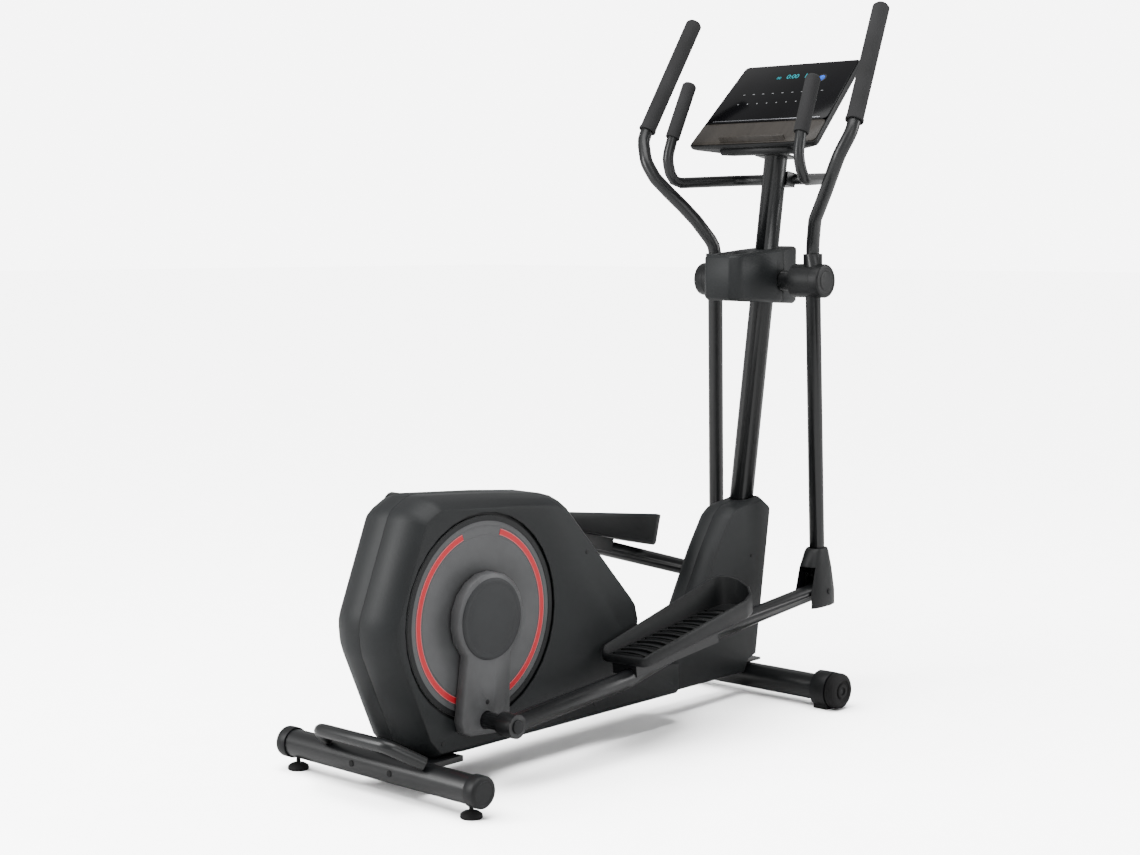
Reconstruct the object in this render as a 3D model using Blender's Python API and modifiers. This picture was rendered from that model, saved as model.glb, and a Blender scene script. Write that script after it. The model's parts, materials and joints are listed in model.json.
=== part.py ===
"""Rear-drive elliptical trainer, as an assembly of separate pieces.

Metres. +X points to the console, +Y to the user's left, +Z up. The machine lies
symmetrically about Y = 0. Positions are written from the rear stabilizer's axis, and
the root empty shifts them so that the origin is under the middle of the machine.
Run it with: blender --background --python part.py
"""

import math

import bmesh
import bpy
from mathutils import Matrix, Vector

# ---- Driving dimensions ----------------------------------------------------------
ORIGIN_SHIFT = -0.69099  # puts the origin under the middle of the bounding box
GAP = 0.0004  # between pieces that touch

# Linkage: crank, pedal arms and swing arms
CRANK_X = 0.2095
CRANK_Z = 0.3485
CRANK_RADIUS = 0.2129
CRANK_LEAN = math.radians(-4.4)  # right crank pin, measured from straight down
PIVOT_X = 1.3056
PIVOT_Z = 1.0365
SWING_LENGTH = 0.773  # upper pivot to lower pivot
PEDAL_ARM_LENGTH = 1.1445  # crank pin to lower pivot
SWING_Y = 0.152  # plane of the swing arm at its top
LOWER_PIVOT_Y = 0.160  # plane of the lower pivot
ARM_REAR_Y = 0.1855  # plane of the pedal arm behind the pedal

# Stabilizers and frame
REAR_Z = 0.0566
REAR_TUBE_R = 0.030
REAR_CAP_R = 0.0333
REAR_HALF = 0.3017
FRONT_X = 1.2245
FRONT_Z = 0.0462
FRONT_TUBE_R = 0.0315
FRONT_HALF = 0.3122
WHEEL_R = 0.0432
SLEEVE_R = 0.0440  # moulded end that carries each wheel
BEAM_START = 0.080
BEAM_END = 1.190
BEAM_HALF = 0.024
BEAM_LOW = 0.060
BEAM_HIGH = 0.118
FOOT_Y = 0.264  # levelling feet

# Mast, leaning forward
MAST_FOOT = Vector((1.1620, 0.0, 0.100))
MAST_HEAD = Vector((1.3560, 0.0, 1.345))
MAST_R = 0.0295
MAST_WALL = 0.0025

# Covers
SHROUD_FACE_Y = 0.091
SHROUD_WALL = 0.003
OPENING_R = 0.2225
DISC_R = 0.2150
DISC_Y = 0.0895  # outer plane of the crank disc
COVER_Y = 0.1165  # outer plane of the crank cover

# Side view of the drive housing: a tall rear hull running into a low base cover.
# Its levels give (inset, distance from the middle), from the centre seam out to the face.
SHROUD_CORNERS = [
    (0.075, 0.056), (0.036, 0.098), (-0.052, 0.300), (-0.058, 0.360), (0.030, 0.583), (0.085, 0.612),
    (0.300, 0.598), (0.4723, 0.5825), (0.725, 0.318), (0.738, 0.272), (0.724, 0.178), (0.886, 0.163),
    (0.890, 0.056)]
SHROUD_RADII = [0.012, 0.02, 0.09, 0.09, 0.045, 0.045, 0.22, 0.10, 0.03, 0.02, 0.02, 0.006, 0.004]
SHROUD_LEVELS = [(0.0, GAP), (0.0, 0.040), (0.010, 0.072), (0.024, SHROUD_FACE_Y)]

# Side view of the cover around the mast's foot, and its levels
MAST_COVER_CORNERS = [
    (0.8935, 0.056), (0.902, 0.150), (0.952, 0.190), (1.006, 0.290), (1.060, 0.386), (1.112, 0.462),
    (1.140, 0.482), (1.250, 0.499), (1.292, 0.470), (1.236, 0.096), (1.203, 0.086), (1.188, 0.056)]
MAST_COVER_RADII = [0.004, 0.03, 0.05, 0.2, 0.3, 0.03, 0.03, 0.02, 0.02, 0.004, 0.004, 0.004]
MAST_COVER_LEVELS = [(0.0, GAP), (0.0, 0.030), (0.008, 0.045)]
INLET_X = 1.2428
INLET_Z = 0.1130

# Plan view of the cover around the swing pivot, from its flat rear to its round front.
MID_CORNERS = [(1.118, -0.037), (1.140, -0.056), (1.290, -0.064), (1.392, -0.048), (1.400, 0.0),
               (1.392, 0.048), (1.290, 0.064), (1.140, 0.056), (1.118, 0.037)]
MID_RADII = [0.012, 0.03, 0.1, 0.03, 0.12, 0.03, 0.1, 0.03, 0.012]
MID_SPLIT_X = 1.3056
POCKET_CORNERS = [(1.138, -0.040), (1.262, -0.040), (1.262, 0.040), (1.138, 0.040)]

# Crank axle, flywheel, belt and brake
BEARING_R = 0.0215
AXLE_R = 0.0100
FLY_X = 0.5000
FLY_Z = 0.2900
FLY_R = 0.1050
PULLEY_R = 0.1300
SMALL_PULLEY_R = 0.0170
BELT_Y = 0.0560
BRAKE_X = 0.6360
BRAKE_Z = 0.1450

# Swing arms and their handlebars, given for the left side
HUB_COVER_R = 0.0415
HUB_TUBE_R = 0.0260
HUB_IN = 0.1010
HUB_OUT = 0.1923
FORK_HALF = 0.0200
HANDLE_R = 0.0165
SOCKET_R = 0.0177  # a polygonal bore that clears the handlebar
GRIP_R = 0.0210
HANDLE_BENDS = [
    (1.2653, 0.1840, 1.1860), (1.2481, 0.2130, 1.2217), (1.2279, 0.2429, 1.2569),
    (1.2077, 0.2727, 1.2942), (1.1996, 0.2959, 1.3352)]
GRIP_LOW = (1.2163, 0.3203, 1.3924)
GRIP_TOP = (1.3822, 0.2880, 1.6955)

# Pedals, by distance along the arm from the crank pin
PEDAL_START = 0.372
PEDAL_LENGTH = 0.462
PEDAL_IN = 0.1050
PEDAL_OUT = 0.2400
PEDAL_TILT = 0.030  # rise of the tread per metre, relative to the arm
PEDAL_RIBS = 7

# Fixed handlebar, given for the left side from the middle out to the tip
BAR_R = 0.0140
FIXED_GRIP_R = 0.0185
BAR_X = 1.3930
BAR_Z = 1.2890
PULSE_LOW = (1.1845, 0.1972, 1.3919)
PULSE_TOP = (1.2425, 0.1898, 1.5240)
BAR_PATH = [(BAR_X, 0, BAR_Z), (BAR_X, 0.140, BAR_Z), (1.1900, 0.2010, 1.2790), (1.1690, 0.2010, 1.3400),
            PULSE_LOW, PULSE_TOP]
BAR_BENDS = [0, 0.045, 0.035, 0.050, 0.080, 0]

# The console face runs from its lower edge to its upper edge.
FACE_LOW = Vector((1.2450, 0, 1.3740))
FACE_HIGH = Vector((1.4630, 0, 1.5860))
FACE_HALF_LOW = 0.1950
FACE_HALF_HIGH = 0.1770
FACE_LENGTH = (FACE_HIGH - FACE_LOW).length
FACE_GRID = 0.186  # half width that the flat layout of the face is drawn at

SIDES = (("right", -1), ("left", 1))
ROUND = 16


# ---- Scene, materials and placing ------------------------------------------------
def clear_scene():
    for obj in list(bpy.data.objects):
        bpy.data.objects.remove(obj)


def new_collection(name):
    made = bpy.data.collections.new(name)
    bpy.context.scene.collection.children.link(made)
    return made


def material(name, colour, roughness, metallic=0.0):
    made = bpy.data.materials.new(name)
    made.use_nodes = True
    shader = made.node_tree.nodes["Principled BSDF"]
    shader.inputs["Base Color"].default_value = (*colour, 1.0)
    shader.inputs["Roughness"].default_value = roughness
    shader.inputs["Metallic"].default_value = metallic
    made.diffuse_color = (*colour, 1.0)
    return made


def empty(name, at, parent=None):
    made = bpy.data.objects.new(name, None)
    made.empty_display_size = 0.05
    made.location = at
    TRAINER.objects.link(made)
    if parent:
        made.parent = parent
        made.location = Vector(at) - joint_place(parent)
    return made


def joint_place(holder):
    """Where an empty stands, in machine coordinates."""
    place = Vector((0, 0, 0))
    while holder is not None and holder != ROOT:
        place += Vector(holder.location)
        holder = holder.parent
    return place


def add(name, data, mat, at=(0, 0, 0), turn=(0, 0, 0), holder=None):
    """Links a mesh or curve as a piece. holder is the joint empty that it turns with."""
    obj = bpy.data.objects.new(name, data)
    data.materials.clear()
    data.materials.append(mat)
    TRAINER.objects.link(obj)
    obj.parent = holder or ROOT
    obj.location = Vector(at) - joint_place(obj.parent)
    obj.rotation_euler = turn
    return obj


def hide_as_tool(obj):
    TRAINER.objects.unlink(obj)
    TOOLS.objects.link(obj)
    obj.hide_render = True
    obj.display_type = "WIRE"
    return obj


def boolean(obj, tool, operation="DIFFERENCE"):
    if tool.name in TRAINER.objects:
        hide_as_tool(tool)
    mod = obj.modifiers.new("cut" if operation == "DIFFERENCE" else "join", "BOOLEAN")
    mod.operation = operation
    mod.solver = "EXACT"
    mod.object = tool
    return obj


def bevel(obj, width, segments=1, angle=40):
    mod = obj.modifiers.new("edges", "BEVEL")
    mod.width = width
    mod.segments = segments
    mod.limit_method = "ANGLE"
    mod.angle_limit = math.radians(angle)
    mod.use_clamp_overlap = True
    return obj


def smooth(obj, angle=35):
    obj.data.shade_smooth()
    obj.data.set_sharp_from_angle(angle=math.radians(angle))
    return obj


# ---- Shapes -----------------------------------------------------------------------
def mesh_from(build):
    """Runs build(bm) and returns the mesh with its faces pointing out."""
    bm = bmesh.new()
    build(bm)
    bmesh.ops.recalc_face_normals(bm, faces=bm.faces)
    mesh = bpy.data.meshes.new("shape")
    bm.to_mesh(mesh)
    bm.free()
    return mesh


def box(name, size, mat, at, turn=(0, 0, 0), holder=None):
    def build(bm):
        bmesh.ops.create_cube(bm, size=1.0)
        bmesh.ops.scale(bm, vec=Vector(size), verts=bm.verts)

    return add(name, mesh_from(build), mat, at, turn, holder)


def cylinder(name, radius, length, mat, at, axis="Y", holder=None, sides=ROUND, top=None):
    def build(bm):
        bmesh.ops.create_cone(
            bm, cap_ends=True, segments=sides, radius1=radius, radius2=top or radius, depth=length
        )
        if axis == "Y":
            bmesh.ops.rotate(bm, verts=bm.verts, matrix=Matrix.Rotation(-math.pi / 2, 3, "X"))
        if axis == "X":
            bmesh.ops.rotate(bm, verts=bm.verts, matrix=Matrix.Rotation(math.pi / 2, 3, "Y"))

    return smooth(add(name, mesh_from(build), mat, at, holder=holder))


def turned(name, profile, mat, at, axis="Y", side=1, holder=None, steps=ROUND):
    """A turned piece. profile is (radius, height) from top to bottom down its outer side, and on
    up its bore if it has one. Heights run along the axis, mirrored where side is -1."""
    mesh = bpy.data.meshes.new(name)
    bored = profile[0][0] > 0
    count = len(profile)
    edges = [(i, (i + 1) % count) for i in range(count if bored else count - 1)]
    mesh.from_pydata([(radius, 0.0, height) for radius, height in profile], edges, [])
    turn = (0, 0, 0)
    if axis == "Y":
        turn = (-math.pi / 2 * side, 0, 0)
    if axis == "X":
        turn = (0, math.pi / 2 * side, 0)
    obj = add(name, mesh, mat, at, turn, holder)
    mod = obj.modifiers.new("turn", "SCREW")
    mod.axis = "Z"
    mod.steps = steps
    mod.render_steps = steps
    mod.use_merge_vertices = True
    mod.merge_threshold = 0.00001
    mod.use_smooth_shade = False
    return obj


def ring_profile(outer, inner, low, high, edge=0.0):
    """A ring's section, with its outer edges chamfered by edge."""
    if edge:
        outside = [(outer - edge, high), (outer, high - edge), (outer, low + edge), (outer - edge, low)]
    else:
        outside = [(outer, high), (outer, low)]
    return outside + [(inner, low), (inner, high)]


def disc_profile(outer, low, high, edge=0.0):
    """A solid disc's section, with its outer edges chamfered by edge."""
    return [(0, high), (outer - edge, high), (outer, high - edge), (outer, low + edge),
            (outer - edge, low), (0, low)] if edge else [(0, high), (outer, high), (outer, low), (0, low)]


def rounded(points, radius, steps=4, closed=False):
    """The path or outline with each inner corner replaced by an arc of this bend radius."""
    points = [Vector(p) for p in points]
    count = len(points)
    made = []
    for i, corner in enumerate(points):
        if not closed and i in (0, count - 1):
            made.append(corner)
            continue
        before = (points[i - 1] - corner).normalized()
        after = (points[(i + 1) % count] - corner).normalized()
        half = before.angle(after) / 2
        bend = radius[i] if isinstance(radius, (list, tuple)) else radius
        if bend <= 0 or half > math.radians(88):
            made.append(corner)
            continue
        back = bend / math.tan(half)
        centre = corner + (before + after).normalized() * (bend / math.sin(half))
        start = corner + before * back - centre
        end = corner + after * back - centre
        sweep = start.angle(end)
        for k in range(steps + 1):
            near = math.sin(sweep * (1 - k / steps)) / math.sin(sweep)
            far = math.sin(sweep * k / steps) / math.sin(sweep)
            made.append(centre + start * near + end * far)
    return made


def tube(name, points, radius, mat, holder=None, sides=12):
    """A solid round bar or closed tube along the points, as a mesh."""
    curve = bpy.data.curves.new(name, "CURVE")
    curve.dimensions = "3D"
    curve.bevel_depth = radius
    curve.bevel_resolution = (sides - 4) // 2
    curve.use_fill_caps = True
    spline = curve.splines.new("POLY")
    spline.points.add(len(points) - 1)
    for knot, point in zip(spline.points, points):
        knot.co = (*point, 1.0)
    bent = add(name + "_path", curve, mat, holder=holder)
    obj = as_mesh(bent, name, mat)
    obj.parent = holder or ROOT
    obj.location = -joint_place(obj.parent)
    return smooth(obj, 50)


def as_mesh(curve_object, name, mat):
    """Makes a curve object a mesh with welded caps, and removes the curve."""
    bpy.context.view_layer.update()
    graph = bpy.context.evaluated_depsgraph_get()
    mesh = bpy.data.meshes.new_from_object(curve_object.evaluated_get(graph))
    bm = bmesh.new()
    bm.from_mesh(mesh)
    bmesh.ops.remove_doubles(bm, verts=bm.verts, dist=0.00001)
    bmesh.ops.recalc_face_normals(bm, faces=bm.faces)
    bm.to_mesh(mesh)
    bm.free()
    bpy.data.objects.remove(curve_object)
    return add(name, mesh, mat)


def slab(name, outline, low, high, mat, holder=None, plan=False):
    """A flat plate between two levels. The outline is in the XZ plane, or in the XY plane for a plan."""
    rings = [[(p[0], p[1], level) if plan else (p[0], level, p[1]) for p in outline] for level in (low, high)]
    return loft(name, rings, mat, holder)


def loft(name, rings, mat, holder=None):
    """Joins rings of points, each with the same count, into one skin with flat ends."""
    def build(bm):
        made = [[bm.verts.new(p) for p in ring] for ring in rings]
        count = len(made[0])
        for a, b in zip(made, made[1:]):
            for i in range(count):
                j = (i + 1) % count
                bm.faces.new((a[i], a[j], b[j], b[i]))
        bm.faces.new(made[0])
        bm.faces.new(made[-1])

    return add(name, mesh_from(build), mat, holder=holder)


def inset(outline, distance):
    """The closed outline moved inwards by a distance."""
    points = [Vector(p) for p in outline]
    area = sum(a.x * b.y - b.x * a.y for a, b in zip(points, points[1:] + points[:1]))
    turn = 1 if area > 0 else -1
    moved = []
    for i, corner in enumerate(points):
        before = (corner - points[i - 1]).normalized()
        after = (points[(i + 1) % len(points)] - corner).normalized()
        normal_before = Vector((-before.y, before.x)) * turn
        normal_after = Vector((-after.y, after.x)) * turn
        mean = (normal_before + normal_after).normalized()
        moved.append(corner + mean * (distance / max(mean.dot(normal_after), 0.4)))
    return moved


def smaller(corners, radii, distance, steps=2):
    """A rounded outline moved inwards: its corners move in, and their radii shrink to match."""
    points = [Vector(p) for p in corners]
    area = sum(a.x * b.y - b.x * a.y for a, b in zip(points, points[1:] + points[:1]))
    fitted = []
    for i, radius in enumerate(radii):
        before = points[i] - points[i - 1]
        after = points[(i + 1) % len(points)] - points[i]
        convex = (before.x * after.y - before.y * after.x) * area > 0
        fitted.append(max(radius - distance if convex else radius + distance, 0.0010) if radius else 0.0)
    moved = [v.to_3d() for v in inset(points, distance)]
    return [Vector((p.x, p.y)) for p in rounded(moved, fitted, steps, True)]


def shell_half(name, corners, radii, steps, wall, mat, side, holder=None):
    """A moulded half shell, open towards Y = 0. steps gives each level's inset and its distance
    from the middle, from the open edge out to the closed face."""
    outer = [at_y(smaller(corners, radii, step), side * y) for step, y in steps]
    roof = steps[-1][1] - wall
    inner = [at_y(smaller(corners, radii, step + wall), side * min(y, roof)) for step, y in steps]
    inner[0] = at_y(smaller(corners, radii, steps[0][0] + wall), side * (steps[0][1] - 0.010))
    shell = loft(name, outer, mat, holder)
    return boolean(shell, loft(name + "_inside", inner, mat, holder))


def at_y(outline, y):
    return [(p[0], y, p[1]) for p in outline]


# ---- Linkage -----------------------------------------------------------------------
def crank_pin(side):
    """(x, z) of the crank pin on a side: the right one hangs down, the left one stands up."""
    reach = CRANK_RADIUS * -side
    return Vector((CRANK_X + reach * math.sin(CRANK_LEAN), CRANK_Z - reach * math.cos(CRANK_LEAN)))


def lower_pivot(side):
    """(x, z) where the swing arm's circle meets the pedal arm's, on the front side."""
    pin = crank_pin(side)
    top = Vector((PIVOT_X, PIVOT_Z))
    span = top - pin
    distance = span.length
    along = (distance**2 + PEDAL_ARM_LENGTH**2 - SWING_LENGTH**2) / (2 * distance)
    across = math.sqrt(PEDAL_ARM_LENGTH**2 - along**2)
    forward = span / distance
    return pin + forward * along + Vector((forward.y, -forward.x)) * across


def on_side(point, side):
    """A point given for the left side, on either side."""
    return Vector((point[0], side * point[1], point[2]))


def mast_at(height):
    """The mast's axis at a height."""
    share = (height - MAST_FOOT.z) / (MAST_HEAD.z - MAST_FOOT.z)
    return MAST_FOOT.lerp(MAST_HEAD, share)


# ---- Frame ---------------------------------------------------------------------------
def main_frame(steel):
    """The welded base: beam, stabilizer saddles, crank carrier plates and mast socket."""
    length = BEAM_END - BEAM_START
    centre = ((BEAM_START + BEAM_END) / 2, 0, (BEAM_LOW + BEAM_HIGH) / 2)
    frame = box("main_frame", (length, 2 * BEAM_HALF, BEAM_HIGH - BEAM_LOW), steel, centre)
    hollow = (length + 0.05, 2 * BEAM_HALF - 0.005, BEAM_HIGH - BEAM_LOW - 0.005)
    boolean(frame, box("beam_hollow", hollow, steel, centre))
    low = BEAM_HIGH - 0.004
    plate = [(0.120, low), (0.330, low), (CRANK_X + 0.036, CRANK_Z + 0.020),
             (CRANK_X - 0.036, CRANK_Z + 0.020)]
    for y in (-0.021, 0.015):
        boolean(frame, slab("crank_plate", plate, y, y + 0.006, steel), "UNION")
    flywheel_plate = [(0.420, low), (0.560, low), (FLY_X + 0.030, FLY_Z + 0.030),
                      (FLY_X - 0.030, FLY_Z + 0.030)]
    for y in (-0.0500, 0.0655):
        boolean(frame, slab("flywheel_plate", flywheel_plate, y, y + 0.006, steel), "UNION")
    seat = box("flywheel_seat", (0.150, 0.1215, 0.010), steel, (0.490, 0.01075, low + 0.001))
    boolean(frame, seat, "UNION")
    boolean(frame, cylinder("bearing_shell", 0.026, 0.070, steel, (CRANK_X, 0, CRANK_Z)), "UNION")
    saddle = box("rear_saddle", (0.130, 0.200, 0.012), steel, (0.075, 0, BEAM_LOW + 0.002))
    boolean(frame, saddle, "UNION")
    socket_foot = mast_at(0.090)
    socket_head = mast_at(0.230)
    socket = tube("mast_socket", [socket_foot, socket_head], MAST_R + 0.005, steel, sides=14)
    boolean(frame, socket, "UNION")
    front = box("front_saddle", (0.125, 0.060, 0.006), steel, (1.2070, 0, FRONT_Z + FRONT_TUBE_R + 0.003))
    boolean(frame, front, "UNION")
    cuts = [
        cylinder("rear_clearance", REAR_TUBE_R + GAP, 0.9, steel, (0, 0, REAR_Z)),
        cylinder("front_clearance", FRONT_TUBE_R + GAP, 0.9, steel, (FRONT_X, 0, FRONT_Z)),
        cylinder("bearing_seat", BEARING_R + GAP, 0.2, steel, (CRANK_X, 0, CRANK_Z)),
        cylinder("flywheel_axle_hole", 0.0085 + GAP, 0.2, steel, (FLY_X, 0, FLY_Z), sides=12),
        tube("mast_bore", [mast_at(0.1225), mast_at(0.4)], 0.0309, steel, sides=14),
    ]
    for cut in cuts:
        boolean(frame, cut)
    return frame


def mast(steel):
    """Hollow leaning tube with the swing pivot's cross tube welded through it."""
    foot = mast_at(0.125)
    axis = (MAST_HEAD - foot).normalized()
    post = turned("mast", ring_profile(MAST_R, MAST_R - MAST_WALL, 0, (MAST_HEAD - foot).length), steel, foot,
                  "Z", steps=16)
    post.rotation_euler = (0, math.atan2(axis.x, axis.z), 0)
    boolean(post, cylinder("cross_tube", 0.0250, 0.1960, steel, (PIVOT_X, 0, PIVOT_Z)), "UNION")
    plate = box("console_plate", (0.060, 0.090, 0.006), steel, MAST_HEAD + axis * 0.001,
                (0, math.atan2(axis.x, axis.z), 0))
    boolean(post, plate, "UNION")
    boolean(post, cylinder("axle_bore", AXLE_R + GAP, 0.4, steel, (PIVOT_X, 0, PIVOT_Z), sides=16))
    return post


def stabilizers(steel, plastic):
    """Both cross tubes with their end caps, and the bent handle that lifts the rear end."""
    cap_len = 0.030
    rear_half = REAR_HALF - cap_len
    rear = turned("rear_stabilizer", ring_profile(REAR_TUBE_R, REAR_TUBE_R - 0.0025, -rear_half, rear_half),
                  steel, (0, 0, REAR_Z))
    holes = {}
    for name, side in SIDES:
        spot = (0, side * FOOT_Y, REAR_Z - 0.03)
        holes[name] = cylinder("foot_thread", 0.0052, 0.05, steel, spot, "Z", sides=8)
        boolean(rear, holes[name])
    handle_path = rounded([(-0.018, -0.150, 0.0905), (-0.076, -0.103, 0.129), (-0.076, 0.103, 0.129),
                           (-0.018, 0.150, 0.0905)], 0.030, 3)
    handle = tube("lift_handle", handle_path, 0.0145, steel, sides=10)
    boolean(handle, cylinder("handle_saddle", REAR_TUBE_R + GAP, 0.7, steel, (0, 0, REAR_Z)))
    for name, side in SIDES:
        cap = turned("rear_cap_" + name, [
            (0, REAR_HALF), (REAR_CAP_R - 0.005, REAR_HALF), (REAR_CAP_R, REAR_HALF - 0.005),
            (REAR_CAP_R, rear_half + GAP), (REAR_TUBE_R - 0.003, rear_half + GAP),
            (REAR_TUBE_R - 0.003, rear_half - 0.020), (0, rear_half - 0.020)], plastic, (0, 0, REAR_Z),
            side=side)
        boolean(cap, holes[name])
    half = FRONT_HALF - 0.0700
    turned("front_stabilizer", ring_profile(FRONT_TUBE_R, FRONT_TUBE_R - 0.0025, -half - 0.02, half + 0.02),
           steel, (FRONT_X, 0, FRONT_Z))
    for name, side in SIDES:
        sleeve = cylinder("front_cap_" + name, SLEEVE_R, 0.0400, plastic,
                          (FRONT_X, side * (half + 0.0200), FRONT_Z))
        foot = box("foot_pad", (0.050, 0.0380, 0.012), plastic, (FRONT_X, side * (half + 0.0200), 0.006))
        boolean(sleeve, foot, "UNION")
        hollow = cylinder("tube_socket", FRONT_TUBE_R + GAP, 0.0200 + 0.04, plastic,
                          (FRONT_X, side * (half - 0.0200 + GAP / 2 + 0.0101), FRONT_Z))
        boolean(sleeve, hollow)
        stub = cylinder("wheel_stub", 0.0100, 0.0290, plastic, (FRONT_X, side * (half + 0.0525), FRONT_Z))
        boolean(sleeve, stub, "UNION")


def levelling_feet(rubber):
    for name, side in SIDES:
        turned("levelling_foot_" + name, [
            (0, 0.040), (0.0045, 0.040), (0.0045, 0.016), (0.0150, 0.0145), (0.0215, 0.0100),
            (0.0230, 0.0025), (0.0220, 0), (0, 0)], rubber, (0, side * FOOT_Y, 0), "Z",
            holder=joints["levelling_foot_" + name], steps=12)


def transport_wheels(rubber):
    middle = FRONT_HALF - 0.0145
    for name, side in SIDES:
        turned("transport_wheel_" + name, [
            (WHEEL_R - 0.008, 0.0145), (WHEEL_R, 0.0080), (WHEEL_R, -0.0140), (0.0106, -0.0140),
            (0.0106, 0.0145)], rubber,
            (FRONT_X, side * middle, FRONT_Z), side=side, holder=joints["transport_wheel_" + name])


# ---- Drive -----------------------------------------------------------------------------
def drive(steel, alloy, black_plastic, belt_rubber):
    spin = joints["crank"]
    centre = (CRANK_X, 0, CRANK_Z)
    turned("crank_bearing", ring_profile(BEARING_R, AXLE_R + GAP, -0.0355, 0.0355), alloy, centre)
    turned("crank_axle", disc_profile(AXLE_R, -0.1060, 0.1060, 0.0015), steel, centre, holder=spin, steps=16)
    web = 0.0070
    turned("drive_pulley", [
        (PULLEY_R, 0.0085), (PULLEY_R, -0.0085), (PULLEY_R - 0.012, -0.0085), (PULLEY_R - 0.012, -web / 2),
        (AXLE_R + GAP, -web / 2), (AXLE_R + GAP, web / 2), (PULLEY_R - 0.012, web / 2),
        (PULLEY_R - 0.012, 0.0085)],
        black_plastic, (CRANK_X, BELT_Y, CRANK_Z), holder=spin, steps=20)
    fly = (FLY_X, 0, FLY_Z)
    turned("flywheel_axle", disc_profile(0.0085, -0.0560, 0.0735), steel, fly, steps=12)
    turned("flywheel", [
        (SMALL_PULLEY_R, 0.0640), (SMALL_PULLEY_R, 0.0480), (0.0140, 0.0480), (0.0140, 0.0060),
        (FLY_R - 0.020, 0.0060), (FLY_R - 0.020, 0.0130), (FLY_R, 0.0130), (FLY_R, -0.0130),
        (FLY_R - 0.020, -0.0130), (FLY_R - 0.020, -0.0060), (0.0120, -0.0060), (0.0120, -0.0420),
        (0.0092, -0.0420), (0.0092, 0.0640)],
        steel, fly, holder=joints["flywheel"], steps=18)
    drive_belt(belt_rubber)


def drive_belt(rubber):
    """A flat belt around both pulleys, its runs on their common tangents."""
    big = Vector((CRANK_X, CRANK_Z))
    small = Vector((FLY_X, FLY_Z))
    span = small - big
    heading = math.atan2(span.y, span.x)

    def loop(extra):
        big_r = PULLEY_R + GAP + extra
        small_r = SMALL_PULLEY_R + GAP + extra
        lean = math.acos((big_r - small_r) / span.length)
        points = []
        for k in range(17):
            a = heading + lean + (2 * math.pi - 2 * lean) * k / 16
            points.append(big + Vector((math.cos(a), math.sin(a))) * big_r)
        for k in range(7):
            a = heading - lean + 2 * lean * k / 6
            points.append(small + Vector((math.cos(a), math.sin(a))) * small_r)
        return points

    low = BELT_Y - 0.0055
    high = BELT_Y + 0.0055
    outer = loop(0.0030)
    inner = loop(0.0006)
    rings = [at_y(outer, low), at_y(outer, high), at_y(inner, high), at_y(inner, low)]

    def build(bm):
        made = [[bm.verts.new(p) for p in ring] for ring in rings]
        count = len(outer)
        for a, b in zip(made, made[1:] + made[:1]):
            for i in range(count):
                j = (i + 1) % count
                bm.faces.new((a[i], a[j], b[j], b[i]))

    add("drive_belt", mesh_from(build), rubber)


def cranks(steel, disc_plastic, cover_plastic, cap_plastic):
    spin = joints["crank"]
    for name, side in SIDES:
        pin = crank_pin(side)
        away = (pin - Vector((CRANK_X, CRANK_Z))).normalized()
        turned("crank_disc_" + name, [
            (DISC_R, 0.0055), (DISC_R, -0.0005), (DISC_R - 0.004, -0.0005), (DISC_R - 0.004, 0.0025),
            (AXLE_R + GAP, 0.0025), (AXLE_R + GAP, 0.0055)], disc_plastic,
            (CRANK_X, side * (DISC_Y - 0.0055), CRANK_Z), side=side, holder=spin, steps=28)
        crank_arm(name, side, pin, steel, spin)
        crank_cover(name, side, pin, away, cover_plastic, spin)
        turned("hub_cap_" + name, [
            (0, 0.0050), (0.0780, 0.0045), (0.0850, 0.0020), (0.0865, 0), (0, 0)], cap_plastic,
            (CRANK_X, side * (COVER_Y + GAP), CRANK_Z), side=side, holder=spin, steps=24)


def bar_outline(start, end, start_r, end_r, steps=6):
    """Two round ends of unlike radius joined by their tangents, in the XZ plane."""
    span = end - start
    heading = math.atan2(span.y, span.x)
    lean = math.acos((start_r - end_r) / span.length)
    points = []
    for k in range(steps + 1):
        a = heading + lean + (2 * math.pi - 2 * lean) * k / steps
        points.append(start + Vector((math.cos(a), math.sin(a))) * start_r)
    for k in range(steps + 1):
        a = heading - lean + 2 * lean * k / steps
        points.append(end + Vector((math.cos(a), math.sin(a))) * end_r)
    return points


def crank_arm(name, side, pin, steel, spin):
    """The steel crank with its pin pressed in. It hides inside the crank cover."""
    hub = Vector((CRANK_X, CRANK_Z))
    inner = SHROUD_FACE_Y + 0.0010
    outer = inner + 0.0120
    outline = bar_outline(hub, pin, 0.0230, 0.0190)
    arm = slab("crank_arm_" + name, outline, *sorted((side * inner, side * outer)), steel, spin)
    seat = cylinder("axle_seat", AXLE_R + GAP, 0.1, steel, (CRANK_X, side * inner, CRANK_Z), holder=spin)
    boolean(arm, seat)
    reach = ARM_REAR_Y - 0.0223 - (outer - 0.004)
    boss = cylinder("crank_boss", 0.0175, reach, steel, (pin.x, side * (outer - 0.004 + reach / 2), pin.y),
                    holder=spin)
    boolean(arm, boss, "UNION")


def cover_corners(pin, away):
    """Round head about the crank axis and a broad straight tail past the pin, with its corner radii."""
    hub = Vector((CRANK_X, CRANK_Z))
    cross = Vector((-away.y, away.x))
    head_r = 0.0980
    tail_half = 0.0740
    tail_end = CRANK_RADIUS + 0.0310
    start = math.asin(tail_half / head_r * 0.86)
    points = []
    for k in range(15):
        a = start + (2 * math.pi - 2 * start) * k / 14
        points.append(hub + away * (math.cos(a) * head_r) + cross * (math.sin(a) * head_r))
    tail = [hub + away * tail_end - cross * tail_half, hub + away * tail_end + cross * tail_half]
    return points + tail, [0.0] * len(points) + [0.030, 0.030]


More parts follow.
